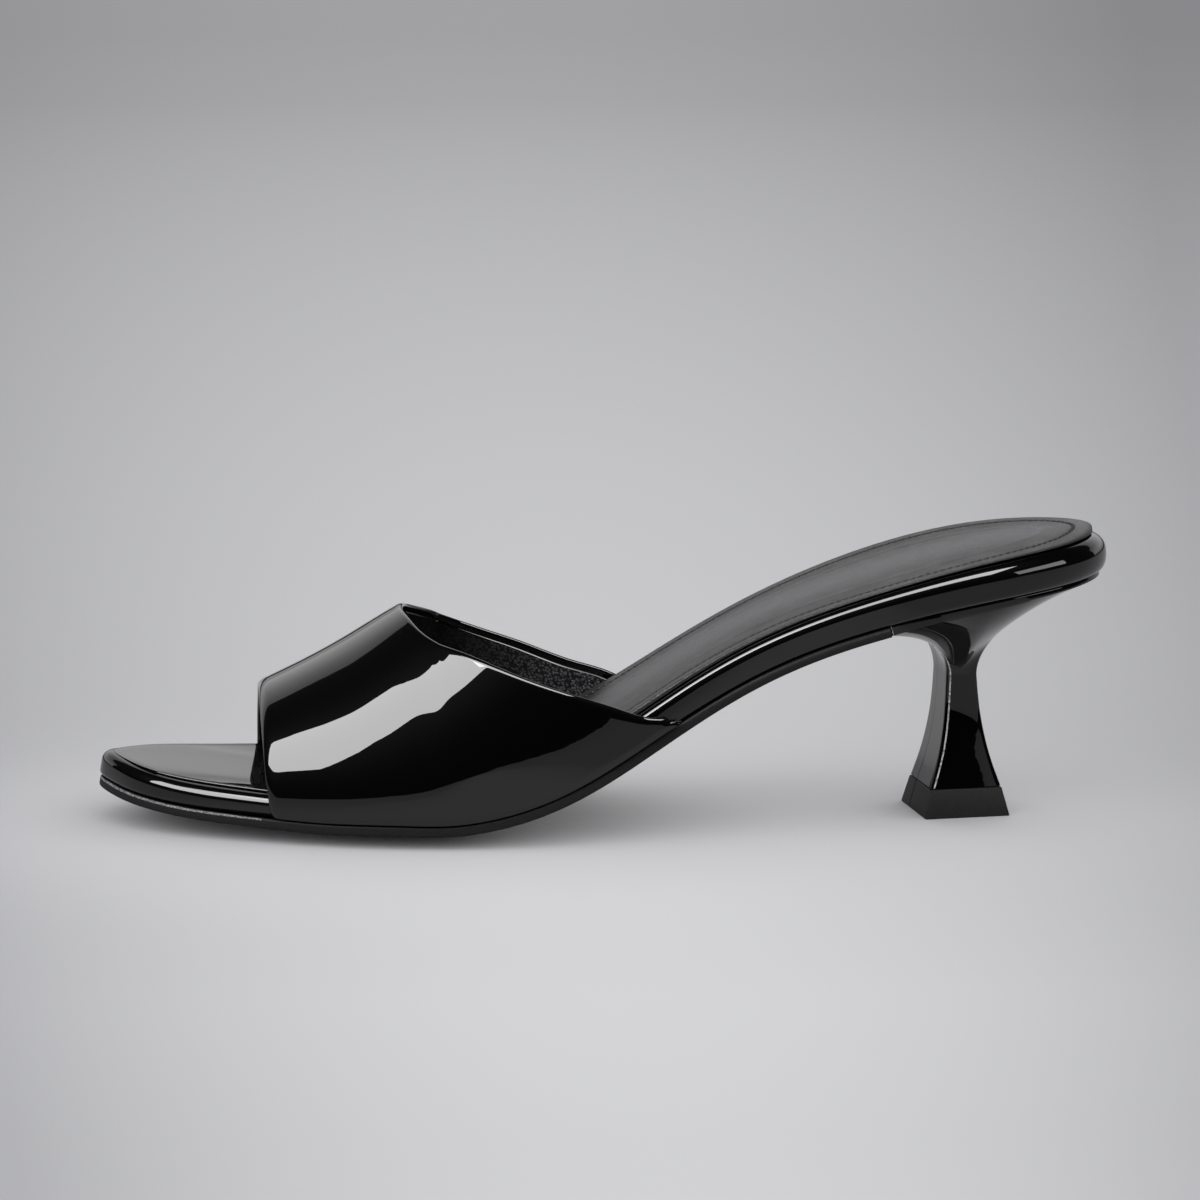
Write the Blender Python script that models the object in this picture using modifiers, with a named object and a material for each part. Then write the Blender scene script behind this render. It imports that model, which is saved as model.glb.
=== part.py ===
# Heeled slide sandal, left shoe: outsole, midsole, insole, hollow upper, heel and heel top piece.
# The toe points to -X, the outer side of the foot to -Y, and the floor is Z = 0.
# Sizes are in millimetres, and are scaled to metres where a mesh is made.
import bmesh
import bpy
import numpy as np
from mathutils import Matrix

MM = 0.001
GAP = 0.3

# Sole layers, measured up from the sole line, with the arcs of their edges
OUTSOLE_THICKNESS = 2.3
OUTSOLE_EDGE = 0.5
INSOLE_THICKNESS = 1.6
INSOLE_EDGE = 0.7
INSOLE_INSET = 2.7
INSOLE_FRONT_X = -62.0
FEATHER_RADIUS = 1.5

# The bottom of the last is flat for FLAT_HALF each side of its middle, and rises to its full camber
# at CAMBER_REACH
FLAT_HALF = 12.0
CAMBER_REACH = 35.0

# Upper: wall, share of a side that stands above the feather edge, room between footbed and wall, and
# the usual length of a side from ridge to feather edge
WALL = 1.8
SIDE_SHARE = 0.92
SIDE_SLACK = 0.2
SIDE_LENGTH = 60.0

# Heel, turned a little outwards about its own axis; its neck leans forward of its foot
HEEL_AXIS = (83.15, 3.2)
HEEL_TURN = 10.0
HEEL_LEAN = 0.6
BREAST_X = 65.0
SEAT_INSET = 2.0
SEAT_RIM = {"front": 2.2, "back": 0.9}
TOP_PIECE_HEIGHT = 6.6
TOP_PIECE_FOOT = (20.4, 20.8)

# Facets
OUTSOLE_STEPS = 38
MIDSOLE_STEPS = 46
INSOLE_STEPS = 34
ACROSS_STEPS = 6
EDGE_STEPS = 2
FEATHER_STEPS = 3
ROLL_STEPS = 4
END_CROWDING = 0.75
BAND_STEPS = 20
SIDE_STEPS = 17
STEM_STEPS = 3
FLARE_STEPS = 9
SEAT_STEPS = 15
SEAT_BACK_STEPS = 4
BREAST_STEPS = 2 * SEAT_BACK_STEPS

# Sampling of the curves that are traced, and the distance within which grid edges are joined
TRACE_REACH = 135.0
TRACE_SAMPLES = 5401
RUN_SAMPLES = 4001
EDGE_SAMPLES = 2001
STATION_ROUNDS = 12
JOIN_DISTANCE = 0.001

# The line of the sole from toe to heel: x, slope in degrees, camber, middle of the last
SOLE_LINE = (
    (-118.0, -10.5, 0.4, 6.5),
    (-100.0, -8.6, 0.9, 6.5),
    (-85.0, -7.2, 2.0, 5.5),
    (-70.0, -6.0, 2.4, 5.0),
    (-52.0, 0.0, 2.5, 3.0),
    (-42.0, 0.0, 2.4, 2.0),
    (-30.0, 9.5, 2.3, 1.0),
    (-15.0, 21.5, 2.0, -1.0),
    (0.0, 31.0, 1.7, -2.5),
    (15.0, 33.5, 1.5, -2.5),
    (30.0, 29.5, 1.4, -2.0),
    (45.0, 22.5, 1.3, -0.5),
    (60.0, 17.0, 1.2, 1.0),
    (80.0, 12.0, 1.1, 1.5),
    (100.0, 8.0, 1.0, 1.5),
    (118.0, 6.0, 1.0, 1.5),
)

# Footbed outline: x, outer side y, inner side y, how far the outsole stands out past it
OUTLINE = (
    (-116.5, 3.6, 3.6, -0.4),
    (-113.8, -3.6, 9.9, 0.0),
    (-107.0, -12.4, 18.2, 0.2),
    (-96.0, -19.2, 25.8, 0.6),
    (-80.0, -25.2, 32.4, 1.4),
    (-60.0, -31.2, 36.8, 1.7),
    (-40.0, -34.4, 38.8, 1.7),
    (-20.0, -34.4, 34.4, 1.7),
    (0.0, -31.8, 27.4, 1.4),
    (18.0, -28.6, 23.4, 0.5),
    (35.0, -26.8, 23.6, 0.0),
    (52.0, -27.2, 27.4, -0.2),
    (70.0, -28.2, 30.6, -0.2),
    (86.0, -26.8, 29.8, -0.2),
    (100.0, -22.3, 25.3, -0.2),
    (110.8, -14.2, 17.2, -0.2),
    (116.0, -6.2, 9.2, -0.2),
    (117.7, 1.5, 1.5, -0.2),
)

# Footbed: x, thickness, radius of its rolled top edge, inset and height of its rounded bottom edge
FOOTBED = (
    (-120.0, 5.8, 4.3, 0.9, 0.9),
    (-90.0, 5.9, 3.8, 1.0, 1.0),
    (-60.0, 6.0, 3.2, FEATHER_RADIUS, FEATHER_RADIUS),
    (0.0, 6.4, 2.3, FEATHER_RADIUS, FEATHER_RADIUS),
    (25.0, 6.6, 2.3, 1.0, 1.0),
    (65.0, 7.2, 3.0, 0.9, 0.9),
    (92.0, 8.2, 3.8, 1.0, 1.4),
    (110.0, 8.4, 4.0, 1.5, 3.0),
    (120.0, 8.4, 4.0, 1.9, 4.0),
)

# Sections of the band, carried on behind the throat: x, ridge height above the sole line, ridge y,
# fullness of the outer side and of the inner side (2 is an ellipse, more is boxier)
SECTIONS = (
    (-84.0, 25.6, 5.0, 2.4, 2.6),
    (-70.0, 34.0, 5.0, 2.3, 2.6),
    (-58.0, 41.6, 5.0, 2.05, 2.6),
    (-46.0, 49.0, 4.0, 2.0, 2.6),
    (-35.0, 54.5, 3.0, 2.1, 2.6),
    (-20.0, 59.0, 1.6, 2.5, 2.6),
    (0.0, 61.0, 0.0, 3.0, 2.6),
    (30.0, 61.0, 0.0, 3.2, 2.6),
)

# Edges of the band: share of the way down from the ridge, front x and throat x on the outer side,
# front x and throat x on the inner side
EDGES = (
    (0.00, -79.0, -46.0, -79.0, -46.0),
    (0.15, -78.8, -44.4, -79.7, -45.5),
    (0.30, -78.4, -40.5, -80.2, -43.3),
    (0.45, -77.9, -32.6, -80.5, -38.0),
    (0.60, -77.4, -23.5, -80.8, -28.5),
    (0.72, -77.0, -15.0, -81.0, -17.2),
    (0.82, -76.6, -5.5, -81.1, -5.8),
    (0.88, -76.2, 2.8, -81.2, 3.4),
    (0.91, -76.0, 9.5, -81.3, 8.4),
    (0.92, -75.9, 15.4, -81.3, 10.6),
    (1.00, -75.2, 17.8, -81.5, 15.2),
)

# Heel stem from the top piece to the neck: z, length, width
HEEL_STEM = (
    (6.6, 17.2, 17.6),
    (13.2, 12.8, 16.2),
    (20.0, 9.7, 14.9),
    (27.0, 7.9, 13.6),
    (33.0, 7.1, 12.8),
)

# Slope at which the heel flares out from its neck, in degrees; its sides turn up again towards the seat,
# to SEAT_TURN_SLOPE over SEAT_TURN_SHARE of the way in
FLARE_SLOPE = {"front": 9.0, "side": 28.0, "back": 25.0}
SEAT_TURN_SLOPE = 60.0
SEAT_TURN_SHARE = 0.25

# Finishes: colour, roughness
FINISHES = {
    "outsole": ((0.018, 0.018, 0.019), 0.55),
    "midsole": ((0.006, 0.006, 0.007), 0.12),
    "insole": ((0.030, 0.030, 0.032), 0.50),
    "upper": ((0.004, 0.004, 0.005), 0.06),
    "heel": ((0.005, 0.005, 0.006), 0.10),
    "top_piece": ((0.012, 0.012, 0.013), 0.60),
}


def column(table, index):
    return np.array([row[index] for row in table], float)


def cubic(knots, values, start=None, end=None):
    # Smooth cubic through the values; an end slope is fixed where one is given
    knots, values = np.asarray(knots, float), np.asarray(values, float)
    step, rise = np.diff(knots), np.diff(values)
    count = len(knots)
    matrix, right = np.zeros((count, count)), np.zeros(count)
    for i in range(1, count - 1):
        matrix[i, i - 1:i + 2] = step[i - 1], 2 * (step[i - 1] + step[i]), step[i]
        right[i] = 6 * (rise[i] / step[i] - rise[i - 1] / step[i - 1])
    matrix[0, 0] = matrix[-1, -1] = 1.0
    if start is not None:
        matrix[0, :2] = 2 * step[0], step[0]
        right[0] = 6 * (rise[0] / step[0] - start)
    if end is not None:
        matrix[-1, -2:] = step[-1], 2 * step[-1]
        right[-1] = 6 * (end - rise[-1] / step[-1])
    bend = np.linalg.solve(matrix, right)

    def curve(at):
        at = np.asarray(at, float)
        i = np.clip(np.searchsorted(knots, at) - 1, 0, count - 2)
        left, ahead = at - knots[i], knots[i + 1] - at
        swing = (bend[i] * ahead ** 3 + bend[i + 1] * left ** 3) / (6 * step[i])
        low = (values[i] / step[i] - bend[i] * step[i] / 6) * ahead
        high = (values[i + 1] / step[i] - bend[i + 1] * step[i] / 6) * left
        return swing + low + high

    return curve


def sole_slope_curve():
    # Two smooth curves that both start level from the flat spot under the ball
    x, slope = column(SOLE_LINE, 0), np.radians(column(SOLE_LINE, 1))
    level = np.flatnonzero(slope == 0.0)
    toe, heel = slice(0, level[0] + 1), slice(level[-1], None)
    toe_curve = cubic(x[toe], slope[toe], end=0.0)
    heel_curve = cubic(x[heel], slope[heel], start=0.0)

    def curve(at):
        behind = np.where(at > x[level[-1]], heel_curve(at), 0.0)
        return np.where(at < x[level[0]], toe_curve(at), behind)

    return curve, x[level[0]]


SLOPE, BALL_X = sole_slope_curve()
TRACE = np.linspace(-TRACE_REACH, TRACE_REACH, TRACE_SAMPLES)
CLIMB = np.tan(SLOPE(TRACE))
TRACE_Z = np.concatenate(([0.0], np.cumsum(0.5 * (CLIMB[1:] + CLIMB[:-1]) * np.diff(TRACE))))
TRACE_Z -= np.interp(BALL_X, TRACE, TRACE_Z)
CAMBER = cubic(column(SOLE_LINE, 0), column(SOLE_LINE, 2))
MIDDLE = cubic(column(SOLE_LINE, 0), column(SOLE_LINE, 3))
FOOTBED_THICKNESS = cubic(column(FOOTBED, 0), column(FOOTBED, 1))
MIDSOLE_BOTTOM = OUTSOLE_THICKNESS + GAP


def on_last(x, y, h):
    # A point h above the sole line, square to it, on the cambered bottom of the last
    beyond = np.maximum(np.abs(y - MIDDLE(x)) - FLAT_HALF, 0.0) / (CAMBER_REACH - FLAT_HALF)
    lift = h + CAMBER(x) * beyond ** 2
    slope = SLOPE(x)
    z = np.interp(x, TRACE, TRACE_Z) + lift * np.cos(slope)
    return np.stack([x - lift * np.sin(slope), y + 0.0 * x, z], -1)


def station(x, h):
    # The place on the sole line whose square at height h passes through x
    at = x + 0.0 * h
    for _ in range(STATION_ROUNDS):
        at = x + h * np.sin(SLOPE(at))
    return at


class Outline:
    # The footbed outline, run from toe tip (0) to heel back (1) along either side
    def __init__(self):
        x, outer, inner = (column(OUTLINE, i) for i in range(3))
        stride = np.sqrt(np.diff(x) ** 2 + 0.5 * (np.diff(outer) ** 2 + np.diff(inner) ** 2))
        run = np.concatenate(([0.0], np.cumsum(stride)))
        run /= run[-1]
        self.x = cubic(run, x, start=0.0, end=0.0)
        self.side = {-1: cubic(run, outer), 1: cubic(run, inner)}
        self.overhang = cubic(run, column(OUTLINE, 3))
        self.runs = np.linspace(0.0, 1.0, RUN_SAMPLES)
        self.run_x = self.x(self.runs)

    def run_at(self, x):
        return np.interp(x, self.run_x, self.runs)

    def y_at(self, side, x):
        return self.side[side](self.run_at(x))

    def plan(self, side, run, out):
        # Plan points that stand out from the outline, square to it
        nudge = 1e-4
        ahead, behind = np.minimum(run + nudge, 1.0), np.maximum(run - nudge, 0.0)
        dx = self.x(ahead) - self.x(behind)
        dy = self.side[side](ahead) - self.side[side](behind)
        dx = np.where((run <= 0.0) | (run >= 1.0), 0.0, dx)
        size = np.hypot(dx, dy)
        return self.x(run) - side * dy / size * out, self.side[side](run) + side * dx / size * out


OUTLINE_CURVE = Outline()


def arc_rows(inset, height, level, steps, upward):
    # Rows of an edge profile round a quarter arc: inset, level (0 bottom, 1 top), rise from that level
    rows = []
    for angle in np.linspace(0.0, 0.5 * np.pi, steps + 1):
        if upward:
            rows.append((inset * (1 - np.cos(angle)), level, -height * (1 - np.sin(angle))))
        else:
            rows.append((inset * (1 - np.sin(angle)), level, height * (1 - np.cos(angle))))
    return rows


def eased(first, last, steps):
    # Even steps, closer together near both ends
    t = np.linspace(0.0, 1.0, steps + 1)
    return first + (last - first) * (t - END_CROWDING * np.sin(2 * np.pi * t) / (2 * np.pi))


def slab(runs, out, bottom, top, edge):
    # Grids of a sole layer: rings around it from toe to heel, with a closing grid at each cut end
    share = np.linspace(0.0, 1.0, ACROSS_STEPS + 1)

    def edge_point(side, row):
        inset, level, rise = row
        x, y = OUTLINE_CURVE.plan(side, runs, out(runs) - inset)
        return x, y, (top(x) if level else bottom(x)) + rise

    outer = [edge_point(-1, row) for row in edge]
    inner = [edge_point(1, row) for row in edge]

    def across(row, share_of_way):
        blend = [a + (b - a) * share_of_way for a, b in zip(outer[row], inner[row])]
        return on_last(*blend)

    ring = [across(0, t) for t in share]
    ring += [on_last(*point) for point in inner[1:-1]]
    ring += [across(-1, t) for t in share[::-1]]
    ring += [on_last(*point) for point in outer[-2::-1]]
    grids = [np.stack(ring, 1)]
    faces = np.stack([np.stack([across(row, t) for t in share], 1) for row in range(len(edge))], 1)
    grids += [faces[end] for end, run in ((0, runs[0]), (-1, runs[-1])) if 0.0 < run < 1.0]
    return grids


def outsole():
    edge = arc_rows(OUTSOLE_EDGE, OUTSOLE_EDGE, 0, EDGE_STEPS, False)
    edge += arc_rows(OUTSOLE_EDGE, OUTSOLE_EDGE, 1, EDGE_STEPS, True)
    runs = eased(0.0, OUTLINE_CURVE.run_at(BREAST_X - GAP), OUTSOLE_STEPS)
    return slab(runs, OUTLINE_CURVE.overhang, lambda x: 0.0 * x, lambda x: OUTSOLE_THICKNESS + 0.0 * x, edge)


def midsole_top(x):
    return MIDSOLE_BOTTOM + FOOTBED_THICKNESS(x)


def midsole():
    runs = eased(0.0, 1.0, MIDSOLE_STEPS)
    xs = OUTLINE_CURVE.x(runs)
    roll, inset, height = (np.interp(xs, column(FOOTBED, 0), column(FOOTBED, i)) for i in (2, 3, 4))
    edge = arc_rows(inset, height, 0, FEATHER_STEPS, False) + arc_rows(roll, roll, 1, ROLL_STEPS, True)
    return slab(runs, lambda run: 0.0 * run, lambda x: MIDSOLE_BOTTOM + 0.0 * x, midsole_top, edge)


def insole():
    edge = [(0.0, 0, 0.0)] + arc_rows(INSOLE_EDGE, INSOLE_EDGE, 1, EDGE_STEPS, True)
    runs = eased(OUTLINE_CURVE.run_at(INSOLE_FRONT_X), 1.0, INSOLE_STEPS)
    return slab(runs, lambda run: 0.0 * run - INSOLE_INSET, lambda x: midsole_top(x) + GAP,
                lambda x: midsole_top(x) + GAP + INSOLE_THICKNESS, edge)


def band_surface(x, share, side):
    # Outer face of the upper at true x: share 0 on the ridge, 1 at the feather edge under the footbed
    ridge_height, ridge_y, fullness = (
        cubic(column(SECTIONS, 0), column(SECTIONS, i))(x) for i in (1, 2, 3 if side < 0 else 4))
    spring = MIDSOLE_BOTTOM + FEATHER_RADIUS
    reach = GAP + WALL + SIDE_SLACK
    feather = FEATHER_RADIUS + reach
    last_angle = np.arcsin(FEATHER_RADIUS / feather)
    turn = 0.5 * np.pi * np.minimum(share / SIDE_SHARE, 1.0)
    tuck = last_angle * np.maximum(share - SIDE_SHARE, 0.0) / (1.0 - SIDE_SHARE)
    rise = np.cos(turn) ** (2.0 / fullness)
    height = spring + (ridge_height - spring) * rise - feather * np.sin(tuck)
    at = station(x, height)
    side_y = OUTLINE_CURVE.y_at(side, at) + side * (feather * np.cos(tuck) - FEATHER_RADIUS)
    return on_last(at, ridge_y + (side_y - ridge_y) * np.sin(turn), height)


def edge_x(share, index):
    # x of one edge of the band, read off a smooth curve through the table down to the feather edge
    above = [row for row in EDGES if row[0] <= SIDE_SHARE]
    shares, places = column(above, 0), column(above, index)
    way = np.concatenate(([0.0], np.cumsum(np.hypot(SIDE_LENGTH * np.diff(shares), np.diff(places)))))
    fine = np.linspace(0.0, way[-1], EDGE_SAMPLES)
    fine_shares = cubic(way, shares, start=1.0 / SIDE_LENGTH)(fine)
    fine_places = cubic(way, places, start=0.0)(fine)
    tucked = np.interp(share, (SIDE_SHARE, EDGES[-1][0]), (places[-1], EDGES[-1][index]))
    return np.where(share > SIDE_SHARE, tucked, np.interp(share, fine_shares, fine_places))


def upper():
    # Open sheet of the band, outer side to inner side, from its front edge to its throat
    spread = np.linspace(0.0, 1.0, SIDE_STEPS - 1)
    share = np.concatenate((spread * SIDE_SHARE, [0.5 * (1.0 + SIDE_SHARE), 1.0]))
    along = np.linspace(0.0, 1.0, BAND_STEPS + 1)
    sides = {}
    for side, first in ((-1, 1), (1, 3)):
        front, throat = edge_x(share, first), edge_x(share, first + 1)
        x = front + (throat - front) * along[:, None]
        sides[side] = band_surface(x, share + 0.0 * x, side)
    return [np.concatenate((sides[-1][:, :0:-1], sides[1]), 1)]


def heel_ring(length, width):
    # Plan of the stem from its outer front corner: across the breast, inner side, back, outer side
    front, back = -0.5 * length, 0.5 * length
    outer, inner = -0.5 * width, 0.5 * width
    sides = SEAT_STEPS - SEAT_BACK_STEPS
    corners = ((front, outer), (front, inner), (back, inner), (back, 0.0), (back, outer), (front, outer))
    counts = (BREAST_STEPS, sides, SEAT_BACK_STEPS, SEAT_BACK_STEPS, sides)
    points = [np.array(corners[:1], float)]
    for start, end, count in zip(corners[:-1], corners[1:], counts):
        t = np.linspace(0.0, 1.0, count + 1)[1:, None]
        points.append(np.array(start) + (np.array(end) - np.array(start)) * t)
    ring = np.concatenate(points)
    turn = np.radians(HEEL_TURN)
    spin = np.array(((np.cos(turn), np.sin(turn)), (-np.sin(turn), np.cos(turn))))
    return ring @ spin + np.array(HEEL_AXIS)


def seat_sides():
    # Plan of the heel seat's outer and inner sides, from the breast to the back
    runs = np.linspace(OUTLINE_CURVE.run_at(BREAST_X), 1.0, SEAT_STEPS + 1)
    return [np.stack(OUTLINE_CURVE.plan(side, runs, -SEAT_INSET + 0.0 * runs), -1) for side in (-1, 1)]


def seat_ring(rim):
    # The heel seat under the footbed, point for point with the stem's ring; rim is its edge's thickness
    outer, inner = seat_sides()
    t = np.linspace(0.0, 1.0, BREAST_STEPS + 1)[:, None]
    breast = outer[0] + (inner[0] - outer[0]) * t
    x, y = np.concatenate((breast, inner[1:], outer[-2::-1])).T
    edge = np.interp(x, (BREAST_X, x.max()), (rim["front"], rim["back"]))
    return on_last(x, y, OUTSOLE_THICKNESS - edge)


def seat_cap():
    # Rows that close the seat, from the breast to the back
    outer, inner = seat_sides()
    t = np.linspace(0.0, 1.0, BREAST_STEPS + 1)[None, :, None]
    plan = outer[:, None] + (inner - outer)[:, None] * t
    return on_last(plan[..., 0], plan[..., 1], OUTSOLE_THICKNESS + 0.0 * plan[..., 0])


def round_ring(breast, side, back_corner, back):
    # A value carried round the ring, given on the breast, halfway along a side, at a back corner, mid back
    sides, middle = SEAT_STEPS - SEAT_BACK_STEPS, BREAST_STEPS // 2
    half = [breast] * (middle + 1)
    half += list(np.linspace(breast, side, sides // 2 + 1)[1:])
    half += list(np.linspace(side, back_corner, sides - sides // 2 + 1)[1:])
    half += list(np.linspace(back_corner, back, SEAT_BACK_STEPS + 1)[1:])
    half = np.array(half)
    return np.concatenate((half[middle:0:-1], half, half[-2:middle - 1:-1]))


def flare_rings(neck, seat):
    # Rings from the neck out to the seat, round curves that rise from the neck
    slopes = round_ring(FLARE_SLOPE["front"], FLARE_SLOPE["side"], FLARE_SLOPE["back"], FLARE_SLOPE["back"])
    turn = round_ring(0.0, 1.0, 0.0, 0.0)[:, None]
    reach = np.hypot(*(seat - neck)[:, :2].T)
    corner = neck.copy()
    corner[:, 2] = seat[:, 2] - reach * np.tan(np.radians(slopes))
    turned = seat + SEAT_TURN_SHARE * (neck - seat)
    turned[:, 2] = seat[:, 2] - SEAT_TURN_SHARE * reach * np.tan(np.radians(SEAT_TURN_SLOPE))
    low, high = neck + (corner - neck) * 2 / 3, seat + (corner - seat) * 2 / 3
    high = high + (turned - high) * turn
    rings = []
    for t in np.linspace(0.0, 1.0, FLARE_STEPS + 1)[1:]:
        near, far = neck * (1 - t) + 3 * low * t, 3 * high * (1 - t) + seat * t
        rings.append((1 - t) ** 2 * near + t ** 2 * far)
    return rings


def stem_cap(ring):
    # Rows that close a ring of the stem, from the breast to the back
    sides = SEAT_STEPS - SEAT_BACK_STEPS
    inner = ring[BREAST_STEPS:BREAST_STEPS + sides + 1]
    outer = ring[::-1][:sides + 1]
    t = np.linspace(0.0, 1.0, BREAST_STEPS + 1)[None, :, None]
    return outer[:, None] + (inner - outer)[:, None] * t


def heel():
    stem_z, length, width = (column(HEEL_STEM, i) for i in range(3))
    levels = np.linspace(stem_z[0] + GAP, stem_z[-1], STEM_STEPS * (len(stem_z) - 1) + 1)
    long_at, wide_at = cubic(stem_z, length), cubic(stem_z, width)
    rings = []
    for z in levels:
        plan = heel_ring(float(long_at(z)), float(wide_at(z)))
        plan[:, 0] -= HEEL_LEAN * (z - stem_z[0]) / (stem_z[-1] - stem_z[0])
        rings.append(np.column_stack((plan, np.full(len(plan), z))))
    rings += flare_rings(rings[-1], seat_ring(SEAT_RIM))
    rings.append(seat_ring({"front": 0.0, "back": 0.0}))
    return [np.stack(rings), stem_cap(rings[0]), seat_cap()]


def top_piece():
    top_length, top_width = HEEL_STEM[0][1:]
    rings = []
    for z, (length, width) in ((0.0, TOP_PIECE_FOOT), (TOP_PIECE_HEIGHT, (top_length, top_width))):
        plan = heel_ring(length, width)
        rings.append(np.column_stack((plan, np.full(len(plan), z))))
    return [np.stack(rings), stem_cap(rings[0]), stem_cap(rings[1])]


def shaped_grid(mesh, points):
    # A flat grid whose points are moved to their places on the form
    rows, columns = points.shape[:2]
    made = bmesh.ops.create_grid(mesh, x_segments=columns - 1, y_segments=rows - 1, size=1.0)["verts"]
    made.sort(key=lambda v: (round(v.co.y, 4), round(v.co.x, 4)))
    for vertex, place in zip(made, points.reshape(-1, 3)):
        vertex.co = place * MM


def finish_material(name):
    colour, roughness = FINISHES[name]
    material = bpy.data.materials.new(name)
    material.use_nodes = True
    shader = material.node_tree.nodes["Principled BSDF"]
    shader.inputs["Base Color"].default_value = (*colour, 1.0)
    shader.inputs["Roughness"].default_value = roughness
    shader.inputs["Metallic"].default_value = 0.0
    return material


def add_part(name, grids, collection):
    mesh = bmesh.new()
    for points in grids:
        shaped_grid(mesh, points)
    bmesh.ops.remove_doubles(mesh, verts=mesh.verts[:], dist=JOIN_DISTANCE * MM)
    bmesh.ops.recalc_face_normals(mesh, faces=mesh.faces[:])
    data = bpy.data.meshes.new(name)
    mesh.to_mesh(data)
    mesh.free()
    data.materials.append(finish_material(name))
    data.shade_smooth()
    part = bpy.data.objects.new(name, data)
    collection.objects.link(part)
    return part


def main():
    for old in list(bpy.data.objects):
        bpy.data.objects.remove(old)
    collection = bpy.data.collections.new("heeled_slide_sandal")
    bpy.context.scene.collection.children.link(collection)
    pieces = {"outsole": outsole, "midsole": midsole, "insole": insole, "upper": upper, "heel": heel,
              "top_piece": top_piece}
    parts = {name: add_part(name, make(), collection) for name, make in pieces.items()}
    wall = parts["upper"].modifiers.new("wall", "SOLIDIFY")
    wall.thickness = WALL * MM
    wall.offset = -1.0
    wall.use_even_offset = True

    # Centre the shoe's box over the origin
    corners = np.array([v.co for part in parts.values() for v in part.data.vertices])
    centre = 0.5 * (corners.min(0) + corners.max(0))
    for part in parts.values():
        part.data.transform(Matrix.Translation((-centre[0], -centre[1], 0.0)))


main()
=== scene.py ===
import bpy
import numpy as np
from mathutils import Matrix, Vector


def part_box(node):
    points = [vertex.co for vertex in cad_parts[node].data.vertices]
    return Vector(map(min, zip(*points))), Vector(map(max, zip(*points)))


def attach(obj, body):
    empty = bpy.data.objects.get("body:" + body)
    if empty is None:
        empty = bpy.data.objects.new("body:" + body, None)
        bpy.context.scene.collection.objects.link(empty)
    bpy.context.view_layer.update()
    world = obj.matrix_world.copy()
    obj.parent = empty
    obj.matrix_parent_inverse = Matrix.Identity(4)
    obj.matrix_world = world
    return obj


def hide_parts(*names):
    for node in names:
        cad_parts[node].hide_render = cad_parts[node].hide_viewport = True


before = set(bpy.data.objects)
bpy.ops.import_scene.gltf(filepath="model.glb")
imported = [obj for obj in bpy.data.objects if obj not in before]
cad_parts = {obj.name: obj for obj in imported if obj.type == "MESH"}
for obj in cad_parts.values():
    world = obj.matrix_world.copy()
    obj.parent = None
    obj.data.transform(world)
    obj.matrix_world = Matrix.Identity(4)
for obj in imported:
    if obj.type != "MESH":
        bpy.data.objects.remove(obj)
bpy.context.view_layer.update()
mm = 0.001
print("frame:", ", ".join(sorted(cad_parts)))

# The last: every form below is drawn on it, in millimetres, toe to -X and outer side to -Y
last = {
    "gap": 0.3,                  # between neighbouring pieces
    "outsoleThickness": 2.3,
    "featherRadius": 1.5,        # bottom edge of the footbed, under the band
    "flatHalf": 12.0,            # half width of the flat bottom
    "camberReach": 35.0,         # where the camber is full
    # x, slope in degrees, camber, middle of the last
    "soleLine": [
        (-118, -10.5, 0.4, 6.5), (-100, -8.6, 0.9, 6.5), (-85, -7.2, 2.0, 5.5), (-70, -6.0, 2.4, 5.0),
        (-52, 0.0, 2.5, 3.0), (-42, 0.0, 2.4, 2.0), (-30, 9.5, 2.3, 1.0), (-15, 21.5, 2.0, -1.0),
        (0, 31.0, 1.7, -2.5), (15, 33.5, 1.5, -2.5), (30, 29.5, 1.4, -2.0), (45, 22.5, 1.3, -0.5),
        (60, 17.0, 1.2, 1.0), (80, 12.0, 1.1, 1.5), (100, 8.0, 1.0, 1.5), (118, 6.0, 1.0, 1.5)],
    # x, outer side, inner side, how far the outsole stands out
    "outline": [
        (-116.5, 3.6, 3.6, -0.4), (-113.8, -3.6, 9.9, 0.0), (-107, -12.4, 18.2, 0.2),
        (-96, -19.2, 25.8, 0.6), (-80, -25.2, 32.4, 1.4), (-60, -31.2, 36.8, 1.7),
        (-40, -34.4, 38.8, 1.7), (-20, -34.4, 34.4, 1.7), (0, -31.8, 27.4, 1.4),
        (18, -28.6, 23.4, 0.5), (35, -26.8, 23.6, 0.0), (52, -27.2, 27.4, -0.2),
        (70, -28.2, 30.6, -0.2), (86, -26.8, 29.8, -0.2), (100, -22.3, 25.3, -0.2),
        (110.8, -14.2, 17.2, -0.2), (116, -6.2, 9.2, -0.2), (117.7, 1.5, 1.5, -0.2)],
    # x, thickness of the footbed, radius of its rolled top edge,
    # inset and height of its rounded bottom edge
    "footbed": [
        (-120, 5.8, 2.3, 0.9, 0.9), (-105, 5.85, 2.3, 0.95, 0.95), (-90, 5.9, 2.7, 1.0, 1.0),
        (-60, 6.0, 2.8, 1.5, 1.5), (0, 6.4, 2.3, 1.5, 1.5), (25, 6.6, 2.3, 1.0, 1.0),
        (65, 7.2, 3.0, 0.9, 0.9), (92, 8.2, 3.8, 1.0, 1.4), (110, 8.4, 4.0, 1.5, 3.0),
        (120, 8.4, 4.0, 1.9, 4.0)],
    "traceReach": 135.0,         # the sole line is followed so far each way, in steps of this length
    "traceStep": 0.05,
    "lookupSteps": 4000,         # along the outline, for finding a place on it by its x
}
heelAxis = (83.15, 3.2)
lowCorner, highCorner = (np.array(corner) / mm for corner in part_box("top_piece"))
centring = np.array([*(0.5 * (lowCorner + highCorner)[:2] - heelAxis), 0.0])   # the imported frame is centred


def column(table, index):
    return np.array([row[index] for row in table], float)


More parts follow.
